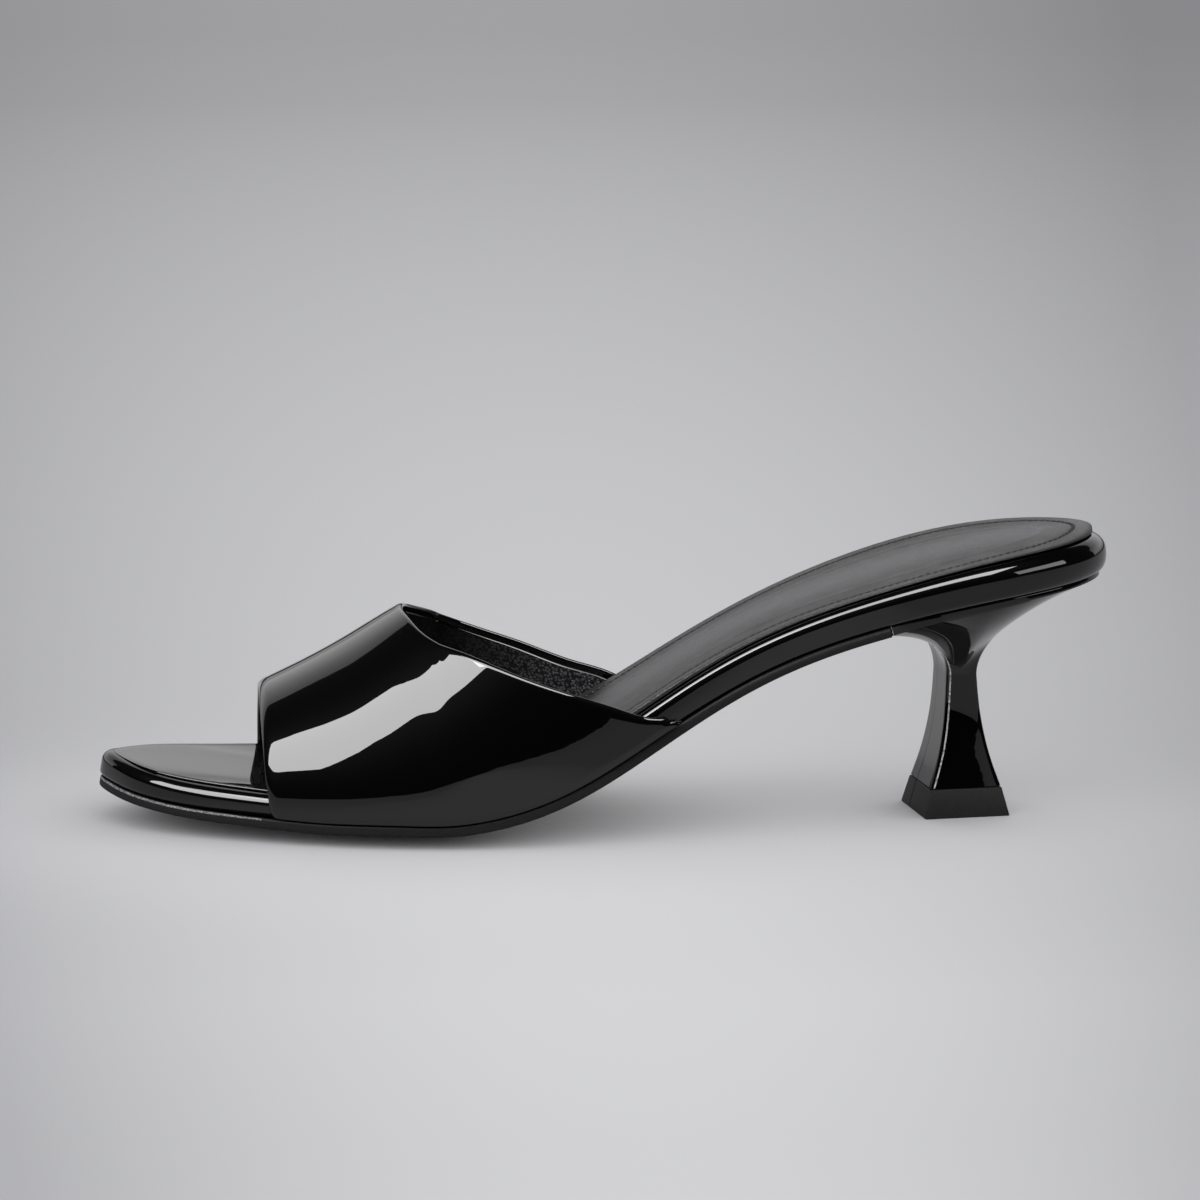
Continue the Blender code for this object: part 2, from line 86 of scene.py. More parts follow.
def curveThrough(knots, values, start=None, end=None):   # smooth cubic; an end slope may be given
    knots, values = np.asarray(knots, float), np.asarray(values, float)
    step, rise = np.diff(knots), np.diff(values)
    count = len(knots)
    matrix, right = np.zeros((count, count)), np.zeros(count)
    for i in range(1, count - 1):
        matrix[i, i - 1:i + 2] = step[i - 1], 2 * (step[i - 1] + step[i]), step[i]
        right[i] = 6 * (rise[i] / step[i] - rise[i - 1] / step[i - 1])
    matrix[0, 0] = matrix[-1, -1] = 1.0
    if start is not None:
        matrix[0, :2] = 2 * step[0], step[0]
        right[0] = 6 * (rise[0] / step[0] - start)
    if end is not None:
        matrix[-1, -2:] = step[-1], 2 * step[-1]
        right[-1] = 6 * (end - rise[-1] / step[-1])
    bend = np.linalg.solve(matrix, right)

    def curve(at):
        at = np.asarray(at, float)
        i = np.clip(np.searchsorted(knots, at) - 1, 0, count - 2)
        left, ahead = at - knots[i], knots[i + 1] - at
        swing = (bend[i] * ahead ** 3 + bend[i + 1] * left ** 3) / (6 * step[i])
        low = (values[i] / step[i] - bend[i] * step[i] / 6) * ahead
        high = (values[i + 1] / step[i] - bend[i + 1] * step[i] / 6) * left
        return swing + low + high

    return curve


def soleSlope():   # two curves that both start level from the flat spot under the ball
    x, slope = column(last["soleLine"], 0), np.radians(column(last["soleLine"], 1))
    level = np.flatnonzero(slope == 0.0)
    toe = curveThrough(x[:level[0] + 1], slope[:level[0] + 1], end=0.0)
    heel = curveThrough(x[level[-1]:], slope[level[-1]:], start=0.0)

    def curve(at):
        return np.where(at < x[level[0]], toe(at), np.where(at > x[level[-1]], heel(at), 0.0))

    return curve, x[level[0]]


slopeAt, ballX = soleSlope()
traceSteps = round(2 * last["traceReach"] / last["traceStep"])
traceX = np.linspace(-last["traceReach"], last["traceReach"], traceSteps + 1)
climb = np.tan(slopeAt(traceX))
traceZ = np.concatenate(([0.0], np.cumsum(0.5 * (climb[1:] + climb[:-1]) * np.diff(traceX))))
traceZ -= np.interp(ballX, traceX, traceZ)
camberAt = curveThrough(column(last["soleLine"], 0), column(last["soleLine"], 2))
middleAt = curveThrough(column(last["soleLine"], 0), column(last["soleLine"], 3))
footbedAt = curveThrough(column(last["footbed"], 0), column(last["footbed"], 1))
footbedBottom = last["outsoleThickness"] + last["gap"]


def footbedTop(x):
    return footbedBottom + footbedAt(x)


def onLast(x, y, h):   # a point h above the sole line, square to it
    beyond = np.maximum(np.abs(y - middleAt(x)) - last["flatHalf"], 0.0)
    lift = h + camberAt(x) * (beyond / (last["camberReach"] - last["flatHalf"])) ** 2
    slope = slopeAt(x)
    z = np.interp(x, traceX, traceZ) + lift * np.cos(slope)
    return np.stack([x - lift * np.sin(slope), y + 0.0 * x, z], -1)


def stationUnder(x, h):   # the place on the sole line whose square at height h passes through x
    at, rounds = x + 0.0 * h, 12
    for _ in range(rounds):
        at = x + h * np.sin(slopeAt(at))
    return at


outlineX, outlineOuter, outlineInner, outlineOverhang = (column(last["outline"], i) for i in range(4))
stride = np.sqrt(np.diff(outlineX) ** 2 + 0.5 * (np.diff(outlineOuter) ** 2 + np.diff(outlineInner) ** 2))
outlineRun = np.concatenate(([0.0], np.cumsum(stride))) / stride.sum()   # 0 at the toe tip, 1 at the heel
xAt = curveThrough(outlineRun, outlineX, start=0.0, end=0.0)
sideAt = {-1: curveThrough(outlineRun, outlineOuter), 1: curveThrough(outlineRun, outlineInner)}
overhangAt = curveThrough(outlineRun, outlineOverhang)
fineRun = np.linspace(0.0, 1.0, last["lookupSteps"] + 1)
fineX = xAt(fineRun)


def runAt(x):
    return np.interp(x, fineX, fineRun)


def outlinePlan(side, run, out):   # plan points that stand out from the outline, square to it
    nudge = 1e-4
    ahead, behind = np.minimum(run + nudge, 1.0), np.maximum(run - nudge, 0.0)
    dx, dy = xAt(ahead) - xAt(behind), sideAt[side](ahead) - sideAt[side](behind)
    dx = np.where((run <= 0.0) | (run >= 1.0), 0.0, dx)
    size = np.hypot(dx, dy)
    return xAt(run) - side * dy / size * out, sideAt[side](run) + side * dx / size * out


def crowdedEnds(start, end, steps, crowding=0.8):   # even steps, closer together near both ends
    t = np.linspace(0.0, 1.0, steps + 1)
    return start + (end - start) * (t - crowding * np.sin(2 * np.pi * t) / (2 * np.pi))


def quarterRound(inset, height, level, steps, upward):
    # Rows round an edge: inset, level (0 bottom, 1 top), rise from that level
    angle = np.linspace(0.0, 0.5 * np.pi, steps + 1)
    if upward:
        return [(inset * (1 - np.cos(a)), level, -height * (1 - np.sin(a))) for a in angle]
    return [(inset * (1 - np.sin(a)), level, height * (1 - np.cos(a))) for a in angle]


# Modelling helpers: grids are laid on the last, joined and closed

closing = {"mergeWithin": 0.002, "sliver": 0.0005, "smoothAngle": 40.0}   # millimetres, degrees


def gridPiece(name, points):   # a grid primitive whose points are moved to their places on the form
    rows, columns = points.shape[:2]
    bpy.ops.object.select_all(action="DESELECT")
    bpy.ops.mesh.primitive_grid_add(x_subdivisions=columns - 1, y_subdivisions=rows - 1, size=2.0)
    piece = bpy.context.object
    piece.name = piece.data.name = name
    piece.data.vertices.foreach_set("co", ((points + centring) * mm).reshape(-1))
    piece.data.update()
    return piece


def closePiece(pieces, smoothAngle=closing["smoothAngle"], fill=False):   # joins grids, merges their seams
    bpy.ops.object.select_all(action="DESELECT")
    for piece in pieces:
        piece.select_set(True)
    bpy.context.view_layer.objects.active = pieces[0]
    if len(pieces) > 1:
        bpy.ops.object.join()
    bpy.ops.object.mode_set(mode="EDIT")
    bpy.ops.mesh.select_all(action="SELECT")
    bpy.ops.mesh.remove_doubles(threshold=closing["mergeWithin"] * mm)
    bpy.ops.mesh.dissolve_degenerate(threshold=closing["sliver"] * mm)
    if fill:
        bpy.ops.mesh.select_all(action="SELECT")
        bpy.ops.mesh.fill_holes(sides=0)
    bpy.ops.mesh.select_all(action="SELECT")
    bpy.ops.mesh.normals_make_consistent(inside=False)
    bpy.ops.object.mode_set(mode="OBJECT")
    bpy.ops.object.shade_smooth_by_angle(angle=np.radians(smoothAngle))
    return pieces[0]


def dress(piece, node, slotName, *finishes, replace=True):   # hands the piece to the frame
    for finish in finishes:
        piece.data.materials.append(finish)
    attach(piece, "root")
    if replace:
        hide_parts(node)
    print(piece.name, len(piece.data.polygons), "faces")


def soleLayer(name, runs, edgeRows, acrossRows, height, edgeDistance=None, settle=None):
    # Rings of one sole layer. edgeRows: (inset, level, rise) up the edge; acrossRows: shares of the
    # way over; edgeDistance: a value for each edge row, kept on the mesh for its finish;
    # settle: changes a point's height
    sides = {}
    for side in (-1, 1):
        rows = []
        for inset, level, rise in edgeRows:
            x, y = outlinePlan(side, runs, -inset + 0.0 * runs)
            rows.append((x, y, height[level](x) + rise))
        sides[side] = rows

    def laid(x, y, h):
        return onLast(x, y, settle(x, y, h) if settle else h)

    def across(row, share):
        return laid(*(a + (b - a) * share for a, b in zip(sides[-1][row], sides[1][row])))

    ring = [across(0, t) for t in acrossRows]
    ring += [laid(*point) for point in sides[1][1:-1]]
    ring += [across(-1, t) for t in acrossRows[::-1]]
    ring += [laid(*point) for point in sides[-1][-2::-1]]
    grids = [gridPiece(name, np.stack(ring, 1))]
    if edgeDistance is not None:
        flat, top = [edgeDistance[0]] * len(acrossRows), [edgeDistance[-1]] * len(acrossRows)
        ringValues = flat + edgeDistance[1:-1] + top + edgeDistance[-2::-1]
        attribute = grids[0].data.attributes.new("edgeDistance", "FLOAT", "POINT")
        attribute.data.foreach_set("value", np.tile(np.array(ringValues, np.float32), len(runs)))
    for end, run in ((0, runs[0]), (-1, runs[-1])):
        if 0.0 < run < 1.0:   # a layer that stops short of the tip has a flat end
            face = [np.stack([across(row, t)[end] for t in acrossRows]) for row in range(len(edgeRows))]
            grids.append(gridPiece(name + "End", np.stack(face)))
    return grids


# Finishes: one function adds a node, sets its values and links its sockets

def hexColour(text):   # sRGB hex to linear
    parts = np.array([int(text[i:i + 2], 16) / 255 for i in (1, 3, 5)])
    linear = np.where(parts <= 0.04045, parts / 12.92, ((parts + 0.055) / 1.055) ** 2.4)
    return (*linear, 1.0)


def setSockets(tree, node, sockets):   # a pair of node and output is linked, anything else is a value
    for name, value in sockets.items():
        if isinstance(value, tuple) and isinstance(value[0], bpy.types.Node):
            tree.links.new(value[0].outputs[value[1]], node.inputs[name])
        else:
            node.inputs[name].default_value = value


def addNode(tree, kind, sockets=None, **settings):
    node = tree.nodes.new(kind)
    for name, value in settings.items():
        setattr(node, name, value)
    setSockets(tree, node, sockets or {})
    return node


def newFinish(name):
    finish = bpy.data.materials.new(name)
    finish.use_nodes = True
    return finish, finish.node_tree, finish.node_tree.nodes["Principled BSDF"]


def drawCurve(node, points):   # puts points into a Float Curve, with straight runs between them
    curve = node.mapping.curves[0]
    for place, level in points[1:-1]:
        curve.points.new(place, level)
    curve.points[0].location, curve.points[-1].location = points[0], points[-1]
    for point in curve.points:
        point.handle_type = "VECTOR"
    node.mapping.update()


def patentLeather(name, rippleWidth, rippleDepth):
    # Patent leather: black calf under a poured clear lacquer. The lacquer mirrors the lamps almost sharply,
    # and its slow ripple makes the edges of those mirrors wander.
    finish, tree, shader = newFinish(name)
    place = addNode(tree, "ShaderNodeTexCoord")
    ripple = addNode(tree, "ShaderNodeTexNoise", {
        "Vector": (place, "Object"), "Scale": 1.0 / (rippleWidth * mm), "Detail": 3.0, "Roughness": 0.4})
    bump = addNode(tree, "ShaderNodeBump", {
        "Height": (ripple, "Fac"), "Strength": 1.0, "Distance": rippleDepth * mm})
    setSockets(tree, shader, {
        "Base Color": hexColour("#010101"), "Roughness": 0.5, "Specular IOR Level": 0.02,
        "Coat Weight": 1.0, "Coat Roughness": 0.015, "Coat IOR": 1.5,
        "Normal": (bump, "Normal"), "Coat Normal": (bump, "Normal")})
    return finish


def liningLeather():
    # Pebbled lining leather: dull black, with painted highlights: its pebble crests painted pale as glints,
    # more so towards the back of the band, where more light reaches in
    grain = {"pebble": 0.65, "depth": 0.12, "darkX": -34.0, "litX": -6.0, "leastLit": 0.08}
    finish, tree, shader = newFinish("pebbled lining leather")
    place = addNode(tree, "ShaderNodeTexCoord")
    pebble = addNode(tree, "ShaderNodeTexVoronoi", {
        "Vector": (place, "Object"), "Scale": 1.0 / (grain["pebble"] * mm)}, feature="F1")
    crest = addNode(tree, "ShaderNodeMapRange", {
        "Value": (pebble, "Distance"), "From Min": 0.1, "From Max": 0.6, "To Min": 1.0, "To Max": 0.0})
    parts = addNode(tree, "ShaderNodeSeparateXYZ", {"Vector": (place, "Object")})
    # painted light: the crests are painted darker towards the front of the band and paler towards its back
    paintedLightAlongX = addNode(tree, "ShaderNodeMapRange", {
        "Value": (parts, "X"), "From Min": grain["darkX"] * mm, "From Max": grain["litX"] * mm,
        "To Min": grain["leastLit"], "To Max": 1.0})
    paintedGlint = addNode(tree, "ShaderNodeMath", {
        0: (crest, "Result"), 1: (paintedLightAlongX, "Result")}, operation="MULTIPLY")
    tone = addNode(tree, "ShaderNodeMix", {
        0: (paintedGlint, "Value"), 6: hexColour("#060607"), 7: hexColour("#66666b")}, data_type="RGBA")
    bump = addNode(tree, "ShaderNodeBump", {
        "Height": (crest, "Result"), "Strength": 1.0, "Distance": grain["depth"] * mm})
    setSockets(tree, shader, {
        "Base Color": (tone, "Result"), "Roughness": 0.5, "Specular IOR Level": 0.35,
        "Normal": (bump, "Normal")})
    return finish


def sockLeather():
    # Fine-grained sock leather: charcoal, satin, with a tight pore, drawn coarser than real to show, a
    # painted sheen paler along its middle, painted shade on its rounded edge and in its sewn channel, a
    # painted highlight over the ridge
    grain = {"pore": 0.42, "specksPerPore": 1.6, "depth": 0.12, "cloud": 6.0,
             "sheenFlat": 2.0, "sheenHalf": 16.0}
    borderEnd = sock["borderRows"][0]
    # distance from the edge, share of the full tone: painted shade at the edge and in the channel, a painted
    # highlight over the ridge
    border = [(0.0, 0.15), (0.6, 0.45), (1.2, 0.85), (3.4, 0.75), (3.8, 0.04), (4.6, 0.04), (5.0, 0.55),
              (10.4, 0.72), (sock["ridgeAt"], 1.0), (12.4, 0.8), (borderEnd, 0.85)]
    finish, tree, shader = newFinish("fine-grained sock leather")
    place = addNode(tree, "ShaderNodeTexCoord")
    pore = addNode(tree, "ShaderNodeTexVoronoi", {
        "Vector": (place, "Object"), "Scale": 1.0 / (grain["pore"] * mm)}, feature="SMOOTH_F1")
    speck = addNode(tree, "ShaderNodeTexNoise", {
        "Vector": (place, "Object"), "Scale": grain["specksPerPore"] / (grain["pore"] * mm),
        "Detail": 3.0})
    cloud = addNode(tree, "ShaderNodeTexNoise", {
        "Vector": (place, "Object"), "Scale": 1.0 / (grain["cloud"] * mm), "Detail": 3.0})
    height = addNode(tree, "ShaderNodeMath", {0: (pore, "Distance"), 1: (speck, "Fac")}, operation="ADD")
    shade = addNode(tree, "ShaderNodeMapRange", {
        "Value": (speck, "Fac"), "From Min": 0.3, "From Max": 0.7, "To Min": 0.0, "To Max": 1.0})
    parts = addNode(tree, "ShaderNodeSeparateXYZ", {"Vector": (place, "Object")})
    aside = addNode(tree, "ShaderNodeMath", {0: (parts, "Y")}, operation="ABSOLUTE")
    # painted sheen: the leather is painted paler along the middle of the sock, broken up by the cloud
    sheenAcross = addNode(tree, "ShaderNodeMapRange", {
        "Value": (aside, "Value"), "From Min": grain["sheenFlat"] * mm,
        "From Max": grain["sheenHalf"] * mm, "To Min": 1.0, "To Max": 0.0},
        interpolation_type="SMOOTHSTEP")
    paintedSheen = addNode(tree, "ShaderNodeMath", {0: (sheenAcross, "Result"), 1: (cloud, "Fac")}, operation="MULTIPLY")
    dark = addNode(tree, "ShaderNodeMix", {
        0: (paintedSheen, "Value"), 6: hexColour("#141416"), 7: hexColour("#38383b")}, data_type="RGBA")
    light = addNode(tree, "ShaderNodeMix", {
        0: (paintedSheen, "Value"), 6: hexColour("#3a3a3d"), 7: hexColour("#7a7a7f")}, data_type="RGBA")
    leather = addNode(tree, "ShaderNodeMix", {
        0: (shade, "Result"), 6: (dark, "Result"), 7: (light, "Result")}, data_type="RGBA")
    # painted shade and highlight by distance from the edge: darker on the rounded edge and in the channel,
    # paler over the ridge
    distance = addNode(tree, "ShaderNodeAttribute", attribute_name="edgeDistance")
    inward = addNode(tree, "ShaderNodeMath", {0: (distance, "Fac"), 1: borderEnd}, operation="DIVIDE")
    # this curve gives the painted shade and highlight across the sock's border
    turned = addNode(tree, "ShaderNodeFloatCurve", {"Value": (inward, "Value")})
    drawCurve(turned, [(d / borderEnd, level) for d, level in border])
    tone = addNode(tree, "ShaderNodeMix", {
        0: (turned, "Value"), 6: hexColour("#030303"), 7: (leather, "Result")}, data_type="RGBA")
    polish = addNode(tree, "ShaderNodeMapRange", {
        "Value": (cloud, "Fac"), "From Min": 0.3, "From Max": 0.7, "To Min": 0.40, "To Max": 0.52})
    bump = addNode(tree, "ShaderNodeBump", {
        "Height": (height, "Value"), "Strength": 0.8, "Distance": grain["depth"] * mm})
    setSockets(tree, shader, {
        "Base Color": (tone, "Result"), "Roughness": (polish, "Result"), "Specular IOR Level": 0.5,
        "Normal": (bump, "Normal")})
    return finish


def speckledFinish(name, speck):   # two tones mixed by a fine noise, which also roughens the surface
    finish, tree, shader = newFinish(name)
    place = addNode(tree, "ShaderNodeTexCoord")
    noise = addNode(tree, "ShaderNodeTexNoise", {
        "Vector": (place, "Object"), "Scale": 1.0 / (speck["size"] * mm), "Detail": speck["detail"],
        "Roughness": speck["raggedness"]})
    low, high = speck["range"]
    shade = addNode(tree, "ShaderNodeMapRange", {
        "Value": (noise, "Fac"), "From Min": low, "From Max": high, "To Min": 0.0, "To Max": 1.0})
    dark, pale = (hexColour(tone) for tone in speck["tones"])
    tone = addNode(tree, "ShaderNodeMix", {0: (shade, "Result"), 6: dark, 7: pale}, data_type="RGBA")
    setSockets(tree, shader, {
        "Base Color": (tone, "Result"), "Roughness": speck["roughness"],
        "Specular IOR Level": speck["specular"]})
    if speck["depth"]:
        bump = addNode(tree, "ShaderNodeBump", {
            "Height": (noise, "Fac"), "Strength": speck["strength"], "Distance": speck["depth"] * mm})
        setSockets(tree, shader, {"Normal": (bump, "Normal")})
    return finish


def solingRubber():
    # Moulded soling rubber: matt black, ground at the edge, with a fine bloom,
    # drawn coarser than real to show
    return speckledFinish("moulded soling rubber", {
        "size": 0.35, "detail": 3.0, "raggedness": 0.6, "range": (0.35, 0.7),
        "tones": ("#0d0d0e", "#19191a"), "roughness": 0.6, "specular": 0.15, "depth": 0.06, "strength": 0.7})


def rubberRimHighlight():
    # Painted highlight on the rubber's sharp top corner: pale specks on its faces that look up, standing in
    # for light caught there
    return speckledFinish("rubber edge with painted highlight", {
        "size": 0.4, "detail": 2.0, "raggedness": 0.7, "range": (0.42, 0.62),
        "tones": ("#2c2c2d", "#86868a"), "roughness": 0.6, "specular": 0.3, "depth": 0.0})


def heelCornerHighlight():
    # Painted highlight on the heel's front corners: a pale line, a little ragged, standing in for light
    # caught on each corner
    return speckledFinish("painted highlight on the heel's corners", {
        "size": 0.5, "detail": 2.0, "raggedness": 0.5, "range": (0.35, 0.6),
        "tones": ("#59595b", "#b6b6b9"), "roughness": 0.5, "specular": 0.3, "depth": 0.0})


def heelTipPolyurethane():
    # Moulded polyurethane heel tip: dull black with a faint spark-eroded mould texture,
    # drawn coarser than real to show
    return speckledFinish("moulded polyurethane heel tip", {
        "size": 0.3, "detail": 2.0, "raggedness": 0.5, "range": (0.35, 0.7),
        "tones": ("#101011", "#1b1b1c"), "roughness": 0.55, "specular": 0.2, "depth": 0.03, "strength": 0.6})


def stitchThread():
    # Bonded polyester thread: black, with the twist of its plies
    twist = {"ply": 0.868, "wavePeriod": 0.2 * np.pi}   # a wave of scale 1 repeats in this along each axis
    finish, tree, shader = newFinish("bonded polyester thread")
    place = addNode(tree, "ShaderNodeTexCoord")
    ply = addNode(tree, "ShaderNodeTexWave", {
        "Vector": (place, "Object"), "Scale": twist["wavePeriod"] / (twist["ply"] * mm),
        "Distortion": 1.0}, bands_direction="DIAGONAL")
    tone = addNode(tree, "ShaderNodeMix", {
        0: (ply, "Fac"), 6: hexColour("#040405"), 7: hexColour("#161618")}, data_type="RGBA")
    setSockets(tree, shader, {"Base Color": (tone, "Result"), "Roughness": 0.5, "Specular IOR Level": 0.4})
    return finish


# Outsole

outsole = {
    "edge": 0.5,
    "endX": 64.97,
    "shoulderX": (18.0, 42.0),   # the top corner is ground away further from here on
    "shoulder": (1.0, 1.2),      # to this inset and height
    "rimHighlightX": -78.0,             # the painted highlight on the top corner runs from the toe to here
    "rimHighlightLean": (0.2, 0.95),    # how far its faces look up
    "edgeSteps": 4,
    "shoulderSteps": 5,
    "runSteps": 150,
    "acrossSteps": 14,
}


def makeOutsole():
    runs = crowdedEnds(0.0, runAt(outsole["endX"]), outsole["runSteps"])
    rows = quarterRound(outsole["edge"], outsole["edge"], 0, outsole["edgeSteps"], False)
    inset, drop = (
        np.interp(xAt(runs), outsole["shoulderX"], (outsole["edge"], to)) for to in outsole["shoulder"])
    rows += quarterRound(inset, drop, 1, outsole["shoulderSteps"], True)
    rows = [(inset - overhangAt(runs), level, rise) for inset, level, rise in rows]
    height = {0: lambda x: 0.0 * x, 1: lambda x: last["outsoleThickness"] + 0.0 * x}
    across = np.linspace(0.0, 1.0, outsole["acrossSteps"] + 1)
    piece = closePiece(soleLayer("outsoleRubber", runs, rows, across, height))
    least, most = outsole["rimHighlightLean"]
    # faces near the toe that look partly up get the painted highlight
    for face in piece.data.polygons:
        atToe = face.center.x < (outsole["rimHighlightX"] + centring[0]) * mm
        face.material_index = int(atToe and least < face.normal.z < most)
    dress(piece, "outsole", "outsole", solingRubber(), rubberRimHighlight())


# Footbed, wrapped in patent

footbed = {
    "runSteps": 190,
    "acrossSteps": 16,
    "rollSteps": 12,
    "featherSteps": 6,
    "ripple": (9.0, 0.02),    # width and depth of the slow waves in its lacquer
    # along the toe the roll lies lower than the pad that it frames: x, by how much
    "step": [(-116, 0.08), (-112, 0.2), (-104, 0.6), (-98, 0.7), (-74, 0.7), (-68, 0.0)],
    "lip": [(-116, 0.1), (-74, 0.16), (-68, 0.0)],     # x, height of that pad's edge over the plain footbed
    # section of the edge: distance in from the roll, share of its height
    "bead": [(0.03, 0.35), (0.06, 0.69), (0.1, 0.85), (0.17, 0.94), (0.28, 0.99), (0.5, 1.0), (0.85, 0.98),
             (1.3, 0.92), (1.9, 0.9), (2.5, 0.9)],
}


def makeFootbed():
    runs = crowdedEnds(0.0, 1.0, footbed["runSteps"])
    table = last["footbed"]
    roll, inset, rise = (np.interp(xAt(runs), column(table, 0), column(table, i)) for i in (2, 3, 4))
    rows = quarterRound(inset, rise, 0, footbed["featherSteps"], False)
    step, lip = (
        np.interp(xAt(runs), column(footbed[key], 0), column(footbed[key], 1)) for key in ("step", "lip"))
    rolled = quarterRound(roll, roll, 1, footbed["rollSteps"], True)
    rows += [(inward, level, drop - step) for inward, level, drop in rolled]
    rows += [(roll + inward, 1, (step + lip) * share - step) for inward, share in footbed["bead"]]
    height = {0: lambda x: footbedBottom + 0.0 * x, 1: footbedTop}
    across = np.linspace(0.0, 1.0, footbed["acrossSteps"] + 1)
    piece = closePiece(soleLayer("footbedWrap", runs, rows, across, height))
    dress(piece, "midsole", "midsole", patentLeather("patent leather on the footbed", *footbed["ripple"]))


# Sock, with its sewn edge

sock = {
    "inset": 2.7,             # from the footbed's edge
    "frontX": -62.0,
    "thickness": 1.6,
    "edge": 0.7,
    "edgeSteps": 5,
    "channelAt": 4.2,         # sewn channel, from the sock's own edge
    "channelDepth": 0.22,
    "channelHalf": 0.38,
    "ridgeAt": 11.5,          # faint ridge over the edge of the padding
    "ridgeHeight": 0.12,
    "ridgeHalf": 1.0,
    "closeRows": (5.6, 29),   # distance and count: rows lie close together from the edge over the channel
    "borderRows": (14.0, 17),    # then wider apart, over the ridge
    "settleX": (-10.0, 30.0, 65.0),    # towards its outer edge the sock is pressed thinner, by these shares
    "settle": (0.0, 0.5, 0.78),
    "settleCurve": 1.5,
    "leastHalf": 1.0,         # half width that the pressing reckons with at the tips
    "runSteps": 170,
    "acrossSteps": 14,
    "smoothAngle": 60.0,
    "stitchStart": 4.0,       # behind the sock's front edge
    "stitchPitch": 1.75,
    "stitchLength": 1.2,
    "stitchWidth": 0.62,
    "stitchFlatness": 0.84,   # height over width
    "stitchBlunt": 0.6,       # 1 for an egg's ends, less for blunter ones
    "stitchDip": 0.10,        # of a stitch's ends into their holes
    "stitchRise": 0.2,        # of a stitch's middle over the bottom of the channel
}


def sockProfile(d):   # height over the plain sock at distance d from its edge
    channel = -sock["channelDepth"] * np.exp(-((d - sock["channelAt"]) / sock["channelHalf"]) ** 2)
    ridge = sock["ridgeHeight"] * np.exp(-((d - sock["ridgeAt"]) / sock["ridgeHalf"]) ** 2)
    return channel + ridge


def sockSettle(x, y, h):   # presses a height on the sock down towards its outer edge
    base = footbedTop(x) + last["gap"]
    outer, inner = (sideAt[side](runAt(x)) for side in (-1, 1))
    half = np.maximum(0.5 * (inner - outer) - sock["inset"], sock["leastHalf"])
    outward = np.clip((0.5 * (inner + outer) - y) / half, 0.0, 1.0) ** sock["settleCurve"]
    return base + (h - base) * (1 - np.interp(x, sock["settleX"], sock["settle"]) * outward)


def makeSock():
    runs = crowdedEnds(runAt(sock["frontX"]), 1.0, sock["runSteps"])
    rows, fromEdge = [(sock["inset"], 0, 0.0)], [0.0]
    for inset, level, rise in quarterRound(sock["edge"], sock["edge"], 1, sock["edgeSteps"], True):
        rows.append((sock["inset"] + inset, level, rise))
        fromEdge.append(float(inset))
    start = sock["edge"]
    for end, steps in (sock["closeRows"], sock["borderRows"]):
        for d in np.linspace(start, end, steps + 1)[1:]:
            rows.append((sock["inset"] + d, 1, float(sockProfile(d))))
            fromEdge.append(float(d))
        start = end
    height = {0: lambda x: footbedTop(x) + last["gap"],
              1: lambda x: footbedTop(x) + last["gap"] + sock["thickness"]}
    across = np.linspace(0.0, 1.0, sock["acrossSteps"] + 1)
    grids = soleLayer("sockLeather", runs, rows, across, height, fromEdge, sockSettle)
    dress(closePiece(grids, sock["smoothAngle"]), "insole", "insole", sockLeather())


def makeStitches():
    pathPoints, nudge = 3000, 0.3
    runs = np.linspace(runAt(sock["frontX"] + sock["stitchStart"]), 1.0, pathPoints)
    lines = []
    for side in (-1, 1):
        x, y = outlinePlan(side, runs, -sock["inset"] - sock["channelAt"] + 0.0 * runs)
        rise = sock["thickness"] + float(sockProfile(sock["channelAt"])) + sock["stitchRise"]
        line = onLast(x, y, sockSettle(x, y, footbedTop(x) + last["gap"] + rise))
        lines.append(line if side < 0 else line[::-1])
    path = np.concatenate((lines[0], lines[1][1:]))
    way = np.concatenate(([0.0], np.cumsum(np.linalg.norm(np.diff(path, axis=0), axis=1))))
    count = int(way[-1] / sock["stitchPitch"])
    centres = (np.arange(count) + 0.5) * way[-1] / count
    at, ahead = (
        np.stack([np.interp(places, way, path[:, i]) for i in range(3)], -1)
        for places in (centres, centres + nudge))
    along = ahead - at
    along /= np.linalg.norm(along, axis=1)[:, None]
    sideways = np.cross(along, (0.0, 0.0, 1.0))
    sideways /= np.linalg.norm(sideways, axis=1)[:, None]
    upward = np.cross(sideways, along)
    bpy.ops.object.select_all(action="DESELECT")
    bpy.ops.mesh.primitive_uv_sphere_add(segments=8, ring_count=6, radius=1.0)
    one = bpy.context.object   # one stitch, from which all are copied
    ball = np.array([v.co for v in one.data.vertices])
    faces = [tuple(face.vertices) for face in one.data.polygons]
    bpy.data.objects.remove(one)
    ball[:, 2] = np.sign(ball[:, 2]) * np.abs(ball[:, 2]) ** sock["stitchBlunt"]
    points = (at[:, None] + ball[None, :, 2:] * along[:, None] * 0.5 * sock["stitchLength"]
              + ball[None, :, :1] * sideways[:, None] * 0.5 * sock["stitchWidth"]
              + ball[None, :, 1:2] * upward[:, None] * 0.5 * sock["stitchFlatness"] * sock["stitchWidth"])
    points[..., 2] -= sock["stitchDip"] * ball[None, :, 2] ** 2
    mesh = bpy.data.meshes.new("sockStitches")
    allFaces = [tuple(i + k * len(ball) for i in face) for k in range(count) for face in faces]
    mesh.from_pydata(((points.reshape(-1, 3) + centring) * mm).tolist(), [], allFaces)
    piece = bpy.data.objects.new("sockStitches", mesh)
    bpy.context.scene.collection.objects.link(piece)
    closePiece([piece], smoothAngle=180.0)
    dress(piece, "insole", "insole", stitchThread(), replace=False)


# Band: the upper, one wall with folded edges and a lining

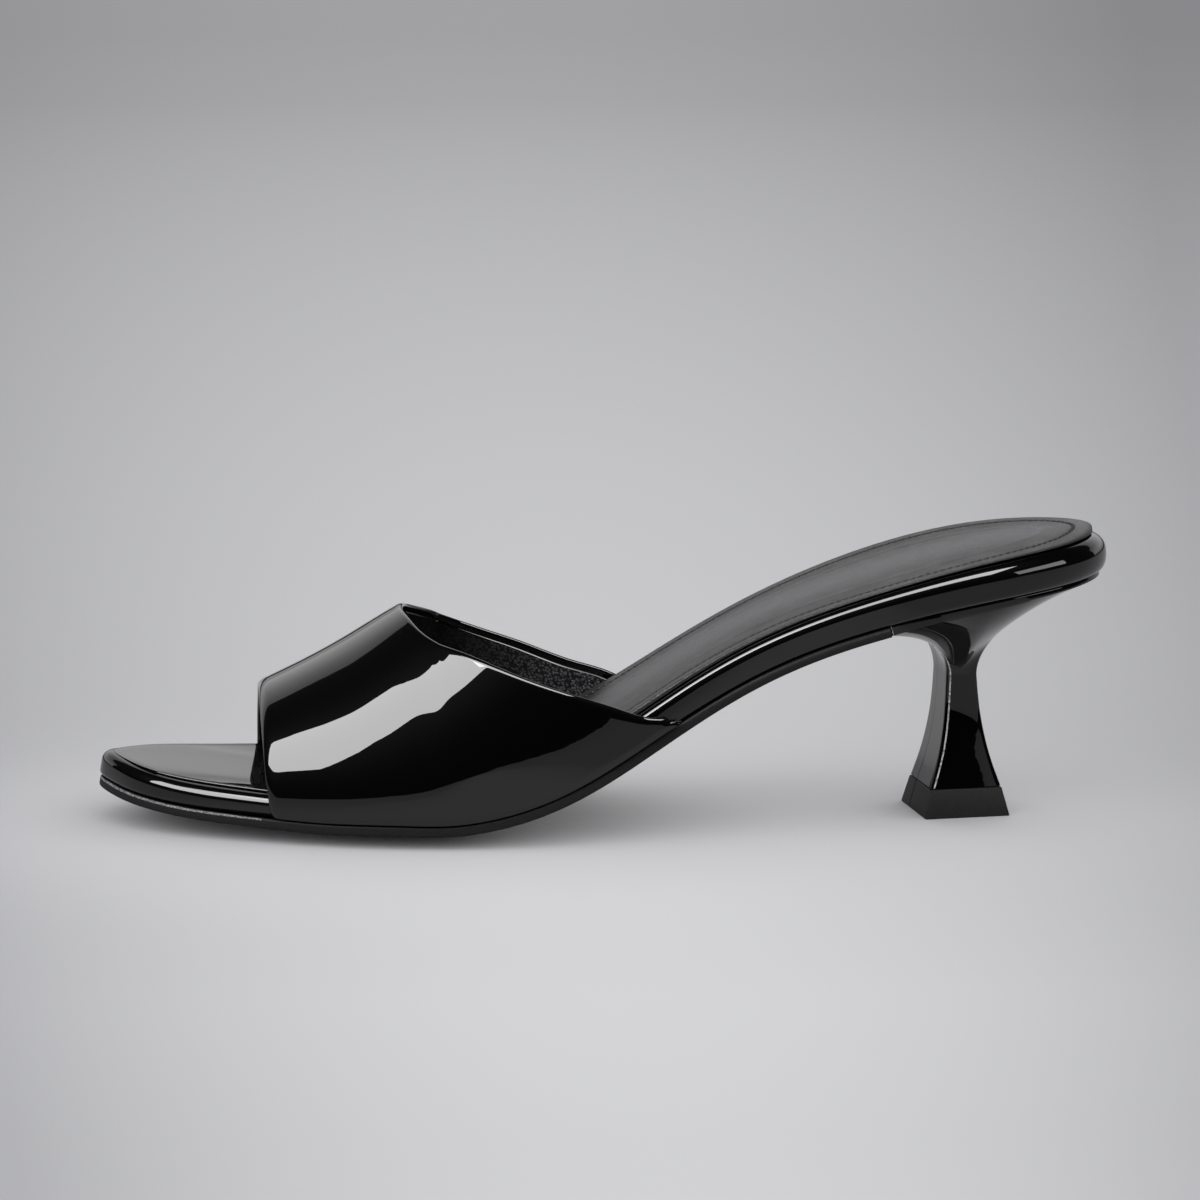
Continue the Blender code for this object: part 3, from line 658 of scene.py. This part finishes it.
band = {
    "sideShare": 0.92,        # share of a side above the feather edge
    "slack": 0.2,             # room between footbed and wall
    "wall": 1.8,
    "frontFold": 2.4,         # how far the outer face rolls over its folded edges
    "throatFold": 1.3,
    "foldDepth": 0.85,
    "foldRound": 0.6,         # inner round of the fold
    "facing": 1.9,            # patent turned in before the lining starts
    "liningStep": 0.3,
    "smoothAngle": 50.0,
    "ripple": (11.0, 0.03),   # width and depth of the slow waves in its lacquer
    # rows of a fold: shares of it on the outer face, then distances from the edge over the facing,
    # past the facing's edge down its step, and on the lining
    "foldRows": (0.0, 0.004, 0.018, 0.05, 0.1, 0.18, 0.29, 0.44, 0.62, 0.8, 1.0),
    "roundSteps": 4,
    "facingRows": (1.0, 1.4),
    "stepRows": (-0.05, 0.0, 0.12),
    "liningRow": 2.4,
    "sideSteps": 96,
    "tuckSteps": 7,
    "edgeSteps": 2000,
    "sideLength": 60.0,       # usual length of a side, ridge to feather edge
    "alongSteps": 70,
    "leastSlant": 0.3,        # where an edge runs along the band, its fold spreads no further than by this
    "evenSteps": 4,           # and that spread is evened out over so many steps each way
    # x, ridge height, ridge y, fullness of the outer side and of the inner side
    "sections": [
        (-84, 25.6, 5.0, 2.4, 2.6), (-70, 34.0, 5.0, 2.3, 2.6), (-58, 41.6, 5.0, 2.05, 2.6),
        (-46, 49.0, 4.0, 2.0, 2.6), (-35, 54.5, 3.0, 2.1, 2.6), (-20, 59.0, 1.6, 2.5, 2.6),
        (0, 61.0, 0.0, 3.0, 2.6), (30, 61.0, 0.0, 3.2, 2.6)],
    # share down from the ridge, front x and throat x outside, front x and throat x inside
    "edges": [
        (0.00, -79.0, -46.0, -79.0, -46.0), (0.15, -78.8, -44.4, -79.7, -45.5),
        (0.30, -78.4, -40.5, -80.2, -43.3), (0.45, -77.9, -32.6, -80.5, -38.0),
        (0.60, -77.4, -23.5, -80.8, -28.5), (0.72, -77.0, -15.0, -81.0, -17.2),
        (0.82, -76.6, -5.5, -81.1, -5.8), (0.88, -76.2, 2.8, -81.2, 3.4),
        (0.91, -76.0, 9.5, -81.3, 8.4), (0.92, -75.9, 15.4, -81.3, 10.6),
        (1.00, -75.2, 17.8, -81.5, 15.2)],
}


def bandPoint(x, share, side):   # outer face: share 0 on the ridge, 1 under the footbed
    knots = column(band["sections"], 0)
    height, ridgeY, fullness = (
        curveThrough(knots, column(band["sections"], i))(x) for i in (1, 2, 3 if side < 0 else 4))
    spring = footbedBottom + last["featherRadius"]
    feather = last["featherRadius"] + last["gap"] + band["wall"] + band["slack"]
    turn = 0.5 * np.pi * np.minimum(share / band["sideShare"], 1.0)
    tuck = np.arcsin(last["featherRadius"] / feather) * np.maximum(share - band["sideShare"], 0.0)
    tuck = tuck / (1.0 - band["sideShare"])
    lift = spring + (height - spring) * np.cos(turn) ** (2.0 / fullness) - feather * np.sin(tuck)
    at = stationUnder(x, lift)
    sideY = sideAt[side](runAt(at)) + side * (feather * np.cos(tuck) - last["featherRadius"])
    return onLast(at, ridgeY + (sideY - ridgeY) * np.sin(turn), lift)


def bandNormal(x, share, side):   # outward, from short steps along and down the outer face
    reach, lean = 0.05, 0.002
    low, high = np.maximum(share - lean, 0.0), np.minimum(share + lean, 1.0)
    alongX = bandPoint(x + reach, share, side) - bandPoint(x - reach, share, side)
    down = bandPoint(x, high, side) - bandPoint(x, low, side)
    normal = np.cross(alongX, down) * side
    return normal / np.linalg.norm(normal, axis=-1)[..., None]


def edgeCurve(index):   # shares and x along one edge above the feather edge, evenly spaced on its way
    above = [row for row in band["edges"] if row[0] <= band["sideShare"]]
    shares, places = column(above, 0), column(above, index)
    steps = np.hypot(band["sideLength"] * np.diff(shares), np.diff(places))
    way = np.concatenate(([0.0], np.cumsum(steps)))
    fine = np.linspace(0.0, way[-1], band["edgeSteps"] + 1)
    shareAt = curveThrough(way, shares, start=1.0 / band["sideLength"])
    return shareAt(fine), curveThrough(way, places, start=0.0)(fine)


def edgeSpread(share, side, index):   # the edge's x, and how far along x one millimetre in from it reaches
    shares, places = edgeCurve(index)
    tucked = np.interp(share, (band["sideShare"], 1.0), (places[-1], band["edges"][-1][index]))
    x = np.where(share > band["sideShare"], tucked, np.interp(share, shares, places))
    reach = 0.05
    edge = np.gradient(bandPoint(x, share, side), axis=0)
    alongX = (bandPoint(x + reach, share, side) - bandPoint(x - reach, share, side)) / (2 * reach)
    slant = np.linalg.norm(np.cross(edge, alongX), axis=-1)
    slant /= np.linalg.norm(edge, axis=-1) * np.linalg.norm(alongX, axis=-1)
    spread = 1.0 / (np.linalg.norm(alongX, axis=-1) * np.maximum(slant, band["leastSlant"]))
    even = band["evenSteps"]
    window = np.ones(2 * even + 1) / (2 * even + 1)
    return x, np.convolve(np.pad(spread, even, mode="edge"), window, "valid")


def foldRows():   # share of the fold in from the edge and depth in the wall, then distance and depth inside
    outer = np.array(band["foldRows"])
    drop = band["foldDepth"] * (1 - np.sqrt(1 - (1 - outer) ** 2))
    angle = np.linspace(0.0, 0.5 * np.pi, band["roundSteps"] + 1)
    flat = band["foldDepth"] + band["foldRound"]
    down = np.array((0.0, 0.5, 1.0)) * band["liningStep"]
    steps = band["facing"] + np.array(band["stepRows"])
    inner = np.concatenate((
        band["foldRound"] * (1 - np.cos(angle)), band["facingRows"], steps, [band["liningRow"]]))
    depth = np.concatenate((
        band["foldDepth"] + band["foldRound"] * np.sin(angle), np.full(len(band["facingRows"]), flat),
        flat + down, [flat + band["liningStep"]]))
    return outer, drop, inner, depth


def bandSide(side):   # loop of rows round the wall, for each share down one side
    first = 1 if side < 0 else 3
    shares = edgeCurve(first + 1)[0]
    share = np.interp(np.linspace(0.0, 1.0, band["sideSteps"]), np.linspace(0.0, 1.0, len(shares)), shares)
    share = np.concatenate((share, np.linspace(band["sideShare"], 1.0, band["tuckSteps"] + 1)[1:]))
    frontX, frontReach = edgeSpread(share, side, first)
    throatX, throatReach = edgeSpread(share, side, first + 1)
    outer, drop, inner, depth = foldRows()
    evenly = np.linspace(0.0, 1.0, band["alongSteps"] + 1)[1:-1, None]

    def face(distance, deep, frontLength=1.0, throatLength=1.0):
        front = frontX + distance[:, None] * frontReach * frontLength
        throat = throatX - distance[::-1, None] * throatReach * throatLength
        middle = front[-1] + (throat[0] - front[-1]) * evenly
        x = np.concatenate((front, middle, throat))
        deep = np.concatenate((deep, np.full(len(middle), deep[-1]), deep[::-1]))[:, None, None]
        shares = share + 0.0 * x
        return bandPoint(x, shares, side) - bandNormal(x, shares, side) * deep

    outside, inside = face(outer, drop, band["frontFold"], band["throatFold"]), face(inner, depth)
    rim = 0.5 * (outside[:, -1] + inside[:, -1])[:, None]   # closes the lower edge under the footbed
    return np.concatenate((np.concatenate((outside, rim), 1), np.concatenate((inside, rim), 1)[::-1]))


def makeBand():
    outerSide, innerSide = bandSide(-1), bandSide(1)
    points = np.concatenate((outerSide[:, :0:-1], innerSide), 1)
    piece = gridPiece("bandUpper", points)
    rows, columns = points.shape[:2]
    half, stepFoot = rows // 2, len(foldRows()[2]) - 2   # the row at the foot of the step to the lining
    lined = np.zeros((rows - 1, columns - 1), int)
    lined[half + stepFoot:rows - 1 - stepFoot] = 1   # faces of the lining, between its stepped edges
    piece.data.polygons.foreach_set("material_index", lined.reshape(-1))
    closePiece([piece], band["smoothAngle"])
    patent = patentLeather("patent leather on the band", *band["ripple"])
    dress(piece, "upper", "upper", patent, liningLeather())


# Heel, wrapped in patent

heel = {
    "turn": 10.0,             # degrees outwards
    "lean": 0.6,              # the neck stands this far forward of the foot
    "breastX": 65.0,
    "seatInset": 2.0,
    "rimFront": 2.2,
    "rimBack": 0.9,
    "seatRound": 0.3,         # rounding of the seat's top edge
    "corner": 1.0,            # rounding of the four long corners, and what is left of it at the seat
    "seatCorner": 0.4,
    "cornerSteps": 5,
    "cornerShare": 0.4,       # most of a face that one corner may take
    "stemSteps": 39,
    "flareSteps": 45,
    "seatSteps": 4,
    "sideSteps": 26,          # along a side face, and along half of the breast or the back
    "endSteps": 10,
    "smoothAngle": 50.0,
    "ripple": (8.0, 0.015),   # width and depth of the slow waves in its lacquer
    "edgeFaces": 2,           # faces across each painted highlight line on the front corners
    "wedge": 0.12,            # at the neck the stem's plan is this much wider at the back than at the breast
    "wedgeAt": 0.62,          # place between breast and back where the width holds
    "seamAt": 0.36,           # seam down the breast: share of the half width, then its width and depth
    "seamWidth": 0.03,
    "seamDepth": 0.2,
    "sideShare": 11 / 15,     # share of the seat's side that belongs to the stem's side face
    "sideMiddle": 5 / 11,     # place along a side face where its own values hold
    "slopes": (9.0, 28.0, 25.0),    # of the flare on the breast, sides and back, in degrees
    "upturn": (0.0, 1.0, 0.0),      # how far each of them turns up again towards the seat
    "upturnSlope": 60.0,
    "upturnShare": 0.25,
    # z, length, width
    "stem": [(6.6, 17.2, 17.6), (13.2, 12.8, 16.1), (20.0, 9.7, 14.6), (25.0, 8.3, 13.55),
             (29.0, 7.6, 13.1), (33.0, 7.1, 12.85)],
}


def heelFaces():   # half breast, side and half back of each side: the stem's corners and the seat's run
    front, back, side = -0.5, 0.5, 0.5
    breastRun = float(runAt(heel["breastX"]))
    backRun = breastRun + (1.0 - breastRun) * heel["sideShare"]
    inner = [((front, 0.0), (front, side), None), ((front, side), (back, side), (breastRun, backRun)),
             ((back, side), (back, 0.0), (backRun, 1.0))]
    outer = [((back, 0.0), (back, -side), (1.0, backRun)),
             ((back, -side), (front, -side), (backRun, breastRun)), ((front, -side), (front, 0.0), None)]
    return [(1, face) for face in inner] + [(-1, face) for face in outer]


def turnedPlan(x, y):   # plan points about the heel's axis, turned outwards with it
    turn = np.radians(heel["turn"])
    return np.stack((heelAxis[0] + x * np.cos(turn) - y * np.sin(turn),
                     heelAxis[1] + x * np.sin(turn) + y * np.cos(turn)), -1)


def stemPlan(start, end, s, length, width, wedge):
    along = start[0] + (end[0] - start[0]) * s
    y = (start[1] + (end[1] - start[1]) * s) * width * (1 + wedge * (along + 0.5 - heel["wedgeAt"]))
    return turnedPlan(along * length, y)


def seatPlan(side, face, s, inset):
    start, end, runs = face
    if runs is None:   # across the breast
        run = np.array([float(runAt(heel["breastX"]))])
        corners = {k: np.concatenate(outlinePlan(k, run, np.array([-inset]))) for k in (-1, 1)}
        share = 0.5 + start[1] + (end[1] - start[1]) * s
        return corners[-1] + (corners[1] - corners[-1]) * share[:, None]
    run = runs[0] + (runs[1] - runs[0]) * s
    return np.stack(outlinePlan(side, run, -inset + 0.0 * run), -1)


def alongFace(face, s, values):   # a value at places s, given on the breast, the middle of a side, the back
    start, end, runs = face
    if runs is None:
        return np.full(len(s), values[0])
    if start[0] == end[0]:
        return np.full(len(s), values[2])
    along = s if start[0] < end[0] else 1.0 - s
    return np.interp(along, (0.0, heel["sideMiddle"], 1.0), values)


def flareRow(neck, seat, face, at, t):
    # Share t of a cubic curve from the neck out to the seat; its handles reach two thirds of the way to the
    # corner of stem and seat slope, and the upper one is turned up towards the seat on the sides
    reach = np.hypot(*(seat - neck)[:, :2].T)
    corner = neck.copy()
    corner[:, 2] = seat[:, 2] - reach * np.tan(np.radians(alongFace(face, at, heel["slopes"])))
    turned = seat + heel["upturnShare"] * (neck - seat)
    turned[:, 2] = seat[:, 2] - heel["upturnShare"] * reach * np.tan(np.radians(heel["upturnSlope"]))
    low, high = neck + (corner - neck) * 2 / 3, seat + (corner - seat) * 2 / 3
    high = high + (turned - high) * alongFace(face, at, heel["upturn"])[:, None]
    return (1 - t) ** 2 * (neck * (1 - t) + 3 * low * t) + t ** 2 * (3 * high * (1 - t) + seat * t)


def heelColumn(side, face, s, levels):   # points from the top piece up to the seat, for places s in each row
    start, end, runs = face
    z, length, width = (column(heel["stem"], i) for i in range(3))
    longAt, wideAt = curveThrough(z, length), curveThrough(z, width)

    def stemRow(at, level):
        up = (level - z[0]) / (z[-1] - z[0])
        plan = stemPlan(start, end, at, float(longAt(level)), float(wideAt(level)), heel["wedge"] * up)
        plan[:, 0] -= heel["lean"] * up
        return np.column_stack((plan, np.full(len(plan), level)))

    rows = []
    for (part, value), at in zip(levels, s):
        inset = heel["seatRound"] * (1 - np.cos(value)) if part == "seat" else 0.0
        plan = seatPlan(side, face, at, heel["seatInset"] + inset)
        if part == "stem":
            rows.append(stemRow(at, value))
        elif part == "flare":
            back = xAt(1.0) - heel["seatInset"]
            rim = np.interp(plan[:, 0], (heel["breastX"], back), (heel["rimFront"], heel["rimBack"]))
            seat = onLast(plan[:, 0], plan[:, 1], last["outsoleThickness"] - rim)
            rows.append(flareRow(stemRow(at, z[-1]), seat, face, at, value))
        else:
            drop = heel["seatRound"] * (1 - np.sin(value))
            rows.append(onLast(plan[:, 0], plan[:, 1], last["outsoleThickness"] - drop + 0.0 * plan[:, 0]))
    return np.stack(rows)


def heelLevels():   # rows of the cover: heights of the stem, shares of the flare, angles round the seat
    bottom, top = heel["stem"][0][0] + last["gap"], heel["stem"][-1][0]
    levels = [("stem", z) for z in np.linspace(bottom, top, heel["stemSteps"] + 1)]
    levels += [("flare", t) for t in np.linspace(0.0, 1.0, heel["flareSteps"] + 1)[1:]]
    return levels + [("seat", angle) for angle in np.linspace(0.0, 0.5 * np.pi, heel["seatSteps"] + 1)]


def makeHeel():
    levels = heelLevels()
    rows, near = len(levels), heel["cornerSteps"]
    flared = np.array([{"stem": 0.0, "flare": value, "seat": 1.0}[part] for part, value in levels])
    radius = heel["corner"] + (heel["seatCorner"] - heel["corner"]) * flared
    faces, corners = [], []
    for side, face in heelFaces():
        span = heelColumn(side, face, np.tile([0.0, 1.0], (rows, 1)), levels)
        length = np.linalg.norm(span[:, 1] - span[:, 0], axis=1)
        closeBy = np.linspace(0.0, 1.0, near + 1) * np.minimum(radius / length, heel["cornerShare"])[:, None]
        isMiddleFirst, isMiddleLast = face[0][1] == 0.0, face[1][1] == 0.0
        lead = np.zeros((rows, 1)) if isMiddleFirst else closeBy
        tail = np.ones((rows, 1)) if isMiddleLast else 1.0 - closeBy[:, ::-1]
        isSide = face[0][0] != face[1][0]
        even = np.linspace(0.0, 1.0, heel["sideSteps" if isSide else "endSteps"] + 1)[1:-1]
        isSeamed = isMiddleFirst and face[2] is None
        if isSeamed:
            even = np.sort(np.append(even, heel["seamAt"] + heel["seamWidth"] * np.array((-0.5, 0.0, 0.5))))
        middle = lead[:, -1:] + (tail[:, :1] - lead[:, -1:]) * even
        points = heelColumn(side, face, np.concatenate((lead, middle, tail), 1), levels)
        if isSeamed:   # the groove runs down the breast, and fades out under the seat
            seam = lead.shape[1] + np.argmin(np.abs(even - heel["seamAt"]))
            points[:, seam, 0] += heel["seamDepth"] * (1 - flared) ** 2
        faces.append(points if not faces else points[:, 1:])
        if not isMiddleLast:
            corners.append(sum(part.shape[1] for part in faces) - 1)
    ring = np.concatenate(faces, 1)
    t = np.linspace(0.0, 1.0, 2 * near + 1)[None, :, None]
    for at in corners:   # each long corner becomes a curve from one face to the next
        before, tip, after = (ring[:, k][:, None] for k in (at - near, at, at + near))
        ring[:, at - near:at + near + 1] = (1 - t) ** 2 * before + 2 * t * (1 - t) * tip + t ** 2 * after
    piece = gridPiece("heelCover", ring)
    # painted highlight: a pale line of faces along each front corner
    highlightFaces = np.zeros((rows - 1, ring.shape[1] - 1), int)
    first, second = corners[0] + near, corners[-1] - near   # where the two front corners meet the side faces
    highlightFaces[:, first - heel["edgeFaces"]:first] = 1
    highlightFaces[:, second:second + heel["edgeFaces"]] = 1
    piece.data.polygons.foreach_set("material_index", highlightFaces.reshape(-1))
    closePiece([piece], heel["smoothAngle"], fill=True)
    patent = patentLeather("patent leather on the heel", *heel["ripple"])
    dress(piece, "heel", "heel", patent, heelCornerHighlight())


# Heel tip

heelTip = {
    "height": 6.6,
    "foot": (20.4, 20.8),
    "corner": 0.35,           # rounding of its upright corners
    "bevel": 0.25,            # of its top and bottom edges
    "seamAt": 0.17,           # moulding seam on the breast face, share of the width from its middle
    "seamWidth": 0.5,
    "seamDepth": 0.3,
    # section of that seam: place over its half width, share of its depth
    "seamSection": [(-1.0, 0.0), (-0.4, 0.7), (0.0, 1.0), (0.4, 0.7), (1.0, 0.0)],
    "bevelRows": [(0.0, 1.0), (0.3, 0.3), (1.0, 0.0)],     # section of the bevel: shares up and in
    "cornerSteps": 4,
    "smoothAngle": 35.0,
}


def heelTipPlan(length, width, inset):   # square with round corners, and a seam in the breast face
    front, side = 0.5 * length - inset, 0.5 * width - inset
    seam, half = heelTip["seamAt"] * width, 0.5 * heelTip["seamWidth"]
    points = [(-front + share * heelTip["seamDepth"], seam + place * half)
              for place, share in heelTip["seamSection"]]
    radius = heelTip["corner"]
    for signX, signY in ((-1, 1), (1, 1), (1, -1), (-1, -1)):
        turns = np.linspace(0.0, 0.5 * np.pi, heelTip["cornerSteps"] + 1)
        if signX * signY > 0:
            turns = turns[::-1]
        points += [(signX * (front - radius * (1 - np.cos(a))), signY * (side - radius * (1 - np.sin(a))))
                   for a in turns]
    return turnedPlan(*np.array(points + points[:1]).T)


def makeHeelTip():
    top = heel["stem"][0][1:]
    height, bevel = heelTip["height"], heelTip["bevel"]
    section = [(up * bevel, inward * bevel) for up, inward in heelTip["bevelRows"]]
    section += [(height - up, inward) for up, inward in section[::-1]]
    rings = []
    for z, inset in section:
        length, width = (low + (high - low) * z / height for low, high in zip(heelTip["foot"], top))
        plan = heelTipPlan(length, width, inset)
        rings.append(np.column_stack((plan, np.full(len(plan), z))))
    piece = closePiece([gridPiece("heelTip", np.stack(rings))], heelTip["smoothAngle"], fill=True)
    dress(piece, "top_piece", "top_piece", heelTipPolyurethane())


makeOutsole()
makeFootbed()
makeSock()
makeStitches()
makeBand()
makeHeel()
makeHeelTip()

# Studio: a pale paper floor, softboxes and a pale panel that only the gloss mirrors, fills that only light

studio = {
    "floorSize": 16.0,
    "paper": ("#bebec0", "#a2a2a5"),    # in the middle, and off to the sides, where painted falloff of the light darkens it
    # y in metres, share of that tone: painted falloff of the light towards the back
    "paperDepth": [(-1.0, 0.95), (-0.26, 0.95), (-0.165, 1.0), (0.06, 0.9), (0.48, 0.875),
                   (1.13, 0.81), (2.75, 0.64), (4.0, 0.6)],
    "fallFrom": 1.0,        # the painted falloff darkens the paper within a fan from so far in front of the shoe
    "sideFall": 0.15,       # x over the distance from there, where the second tone is reached
    "leastDepth": 0.7,      # least distance in that, so that the fan has no point
    # place, target, width, height, luminance, whether it is mirrored or lights
    "lamps": {
        "keySoftbox": ((-0.794, -0.522, 0.833), (-0.05, -0.03, 0.03), 0.68, 0.71, 12.0, True),
        "frontSoftbox": ((-0.085, -0.525, 1.25), (-0.085, -0.525, 0.0), 1.27, 0.65, 12.0, True),
        "rightSoftbox": ((1.05, -0.55, 0.52), (0.1, 0.0, 0.055), 0.8, 0.42, 3.6, True),
        "overheadFill": ((0.0, -0.55, 1.25), (0.0, -0.1, 0.0), 1.6, 1.0, 0.7, False),
    },
    # elevation in degrees, luminance of the pale room, which only lights
    "room": [(0, 0.9), (8, 1.7), (20, 2.1), (35, 1.9), (50, 0.6), (90, 0.4)],
    # painted patch of light on the paper around the shoe: middle, half widths in metres, gain
    "paintedPool": ((-0.01, -0.01), (0.16, 0.075), 0.36),
    "panelY": 1.7,
    "panelWidth": 7.0,
    "panelHeight": 1.62,
    # height, luminance of the panel behind
    "panelGlow": [(0.16, 0.55), (0.24, 0.46), (0.31, 0.48), (0.42, 0.92), (0.85, 0.88),
                  (1.40, 0.58), (1.62, 0.50)],
}
black, white = (0.0, 0.0, 0.0, 1.0), (1.0, 1.0, 1.0, 1.0)


def paperFloor():
    # Matt background paper: pale, a little cool, with painted falloff of the light towards both sides
    # and to the back, and a painted patch of light around the shoe
    finish, tree, shader = newFinish("matt background paper")
    place = addNode(tree, "ShaderNodeTexCoord")
    parts = addNode(tree, "ShaderNodeSeparateXYZ", {"Vector": (place, "Object")})
    ahead = addNode(tree, "ShaderNodeMath", {0: (parts, "Y"), 1: studio["fallFrom"]}, operation="ADD")
    depth = addNode(tree, "ShaderNodeMath", {
        0: (ahead, "Value"), 1: studio["leastDepth"]}, operation="MAXIMUM")
    aside = addNode(tree, "ShaderNodeMath", {0: (parts, "X"), 1: (depth, "Value")}, operation="DIVIDE")
    square = addNode(tree, "ShaderNodeMath", {0: (aside, "Value"), 1: 2.0}, operation="POWER")
    fall = addNode(tree, "ShaderNodeMapRange", {
        "Value": (square, "Value"), "From Max": studio["sideFall"] ** 2})
    centreTone, sideTone = (hexColour(tone) for tone in studio["paper"])
    tone = addNode(tree, "ShaderNodeMix", {
        0: (fall, "Result"), 6: centreTone, 7: sideTone}, data_type="RGBA")
    nearest, farthest = studio["paperDepth"][0][0], studio["paperDepth"][-1][0]
    away = addNode(tree, "ShaderNodeMapRange", {
        "Value": (parts, "Y"), "From Min": nearest, "From Max": farthest})
    share = addNode(tree, "ShaderNodeFloatCurve", {"Value": (away, "Result")})
    drawCurve(share, [((y - nearest) / (farthest - nearest), level) for y, level in studio["paperDepth"]])
    # painted patch of light: the paper is painted paler around the shoe
    middle, half, gain = studio["paintedPool"]
    squares = []
    for axis, centre, width in zip("XY", middle, half):
        shift = addNode(tree, "ShaderNodeMath", {0: (parts, axis), 1: centre}, operation="SUBTRACT")
        ratio = addNode(tree, "ShaderNodeMath", {0: (shift, "Value"), 1: width}, operation="DIVIDE")
        squares.append(addNode(tree, "ShaderNodeMath", {0: (ratio, "Value"), 1: 2.0}, operation="POWER"))
    reach = addNode(tree, "ShaderNodeMath", {
        0: (squares[0], "Value"), 1: (squares[1], "Value")}, operation="ADD")
    fade = addNode(tree, "ShaderNodeMath", {0: (reach, "Value")}, operation="EXPONENT")
    paintedPool = addNode(tree, "ShaderNodeMath", {0: gain, 1: (fade, "Value")}, operation="DIVIDE")
    raised = addNode(tree, "ShaderNodeMath", {0: (paintedPool, "Value"), 1: 1.0}, operation="ADD")
    level = addNode(tree, "ShaderNodeMath", {
        0: (share, "Value"), 1: (raised, "Value")}, operation="MULTIPLY")
    paper = addNode(tree, "ShaderNodeMix", {
        0: (level, "Value"), 6: black, 7: (tone, "Result")}, data_type="RGBA", clamp_factor=False)
    setSockets(tree, shader, {
        "Base Color": (paper, "Result"), "Roughness": 0.9, "Specular IOR Level": 0.0})
    return finish


def glowCurve(tree, along, points):   # a luminance along a value from 0 to 1, as a node's output
    brightest = max(level for place, level in points)
    glow = addNode(tree, "ShaderNodeFloatCurve", {"Value": along})
    drawCurve(glow, [(place, level / brightest) for place, level in points])
    return addNode(tree, "ShaderNodeMath", {0: (glow, "Value"), 1: brightest}, operation="MULTIPLY"), "Value"


def panelGlow():
    # Lit diffusion panel: dim at its foot, brightest a quarter of the way up, fading towards its top
    finish, tree, shader = newFinish("lit diffusion panel")
    place = addNode(tree, "ShaderNodeTexCoord")
    parts = addNode(tree, "ShaderNodeSeparateXYZ", {"Vector": (place, "Object")})
    rise = addNode(tree, "ShaderNodeMath", {0: (parts, "Z"), 1: studio["panelHeight"]}, operation="DIVIDE")
    levels = [(height / studio["panelHeight"], level) for height, level in studio["panelGlow"]]
    setSockets(tree, shader, {
        "Base Color": black, "Specular IOR Level": 0.0, "Emission Color": white,
        "Emission Strength": glowCurve(tree, (rise, "Value"), levels)})
    return finish


def makeStudio():
    bpy.ops.object.select_all(action="DESELECT")
    bpy.ops.mesh.primitive_plane_add(size=studio["floorSize"])
    floor = bpy.context.object
    floor.name = "studioFloor"
    floor.data.materials.append(paperFloor())
    bpy.ops.mesh.primitive_plane_add(size=1.0)
    panel = bpy.context.object
    panel.name = "backPanel"
    lowest = studio["panelGlow"][0][0]
    for v in panel.data.vertices:   # stands upright behind the shoe
        v.co = (v.co.x * studio["panelWidth"], studio["panelY"],
                lowest + (v.co.y + 0.5) * (studio["panelHeight"] - lowest))
    panel.data.materials.append(panelGlow())
    panel.visible_camera = panel.visible_diffuse = panel.visible_shadow = False
    for name, (place, target, width, height, luminance, mirrored) in studio["lamps"].items():
        bpy.ops.object.light_add(type="AREA", location=place)
        lamp = bpy.context.object
        lamp.name = name
        lamp.rotation_mode = "QUATERNION"
        lamp.rotation_quaternion = (Vector(place) - Vector(target)).to_track_quat("Z", "Y")
        lamp.data.shape = "RECTANGLE"
        lamp.data.size, lamp.data.size_y = width, height
        lamp.data.energy = np.pi * luminance * width * height
        lamp.visible_glossy, lamp.visible_diffuse = mirrored, not mirrored
    world = bpy.data.worlds.new("pale room")
    world.use_nodes = True
    tree = world.node_tree
    direction = addNode(tree, "ShaderNodeTexCoord")
    parts = addNode(tree, "ShaderNodeSeparateXYZ", {"Vector": (direction, "Generated")})
    levels = [(float(np.sin(np.radians(elevation))), level) for elevation, level in studio["room"]]
    setSockets(tree, tree.nodes["Background"], {
        "Color": white, "Strength": glowCurve(tree, (parts, "Z"), levels)})
    world.cycles_visibility.camera = world.cycles_visibility.glossy = False
    bpy.context.scene.world = world
    bpy.context.scene.view_settings.view_transform = "Standard"


# Camera, fitted to the picture

camera = {
    "azimuth": 2.0,           # degrees towards the toe
    "elevation": 10.0,
    "distance": 1000.0,
    "target": (0.0, 0.0, 50.5),
    "focalPixels": 4340.0,    # in a frame of this many pixels
    "framePixels": 1200.0,
    "sensor": 36.0,
    "nearest": 10.0,          # nothing nearer than this is drawn
}


def makeCamera():
    az, el = np.radians(camera["azimuth"]), np.radians(camera["elevation"])
    back = np.array((-np.sin(az) * np.cos(el), -np.cos(az) * np.cos(el), np.sin(el)))
    place = np.array(camera["target"]) + centring + back * camera["distance"]
    bpy.ops.object.camera_add(location=place * mm)
    view = bpy.context.object
    view.rotation_mode = "QUATERNION"
    view.rotation_quaternion = Vector(back).to_track_quat("Z", "Y")
    view.data.sensor_width = camera["sensor"]
    view.data.lens = camera["sensor"] * camera["focalPixels"] / camera["framePixels"]
    view.data.clip_start = camera["nearest"] * mm
    bpy.context.scene.camera = view


makeStudio()
makeCamera()
print("studio:", ", ".join(studio["lamps"]))
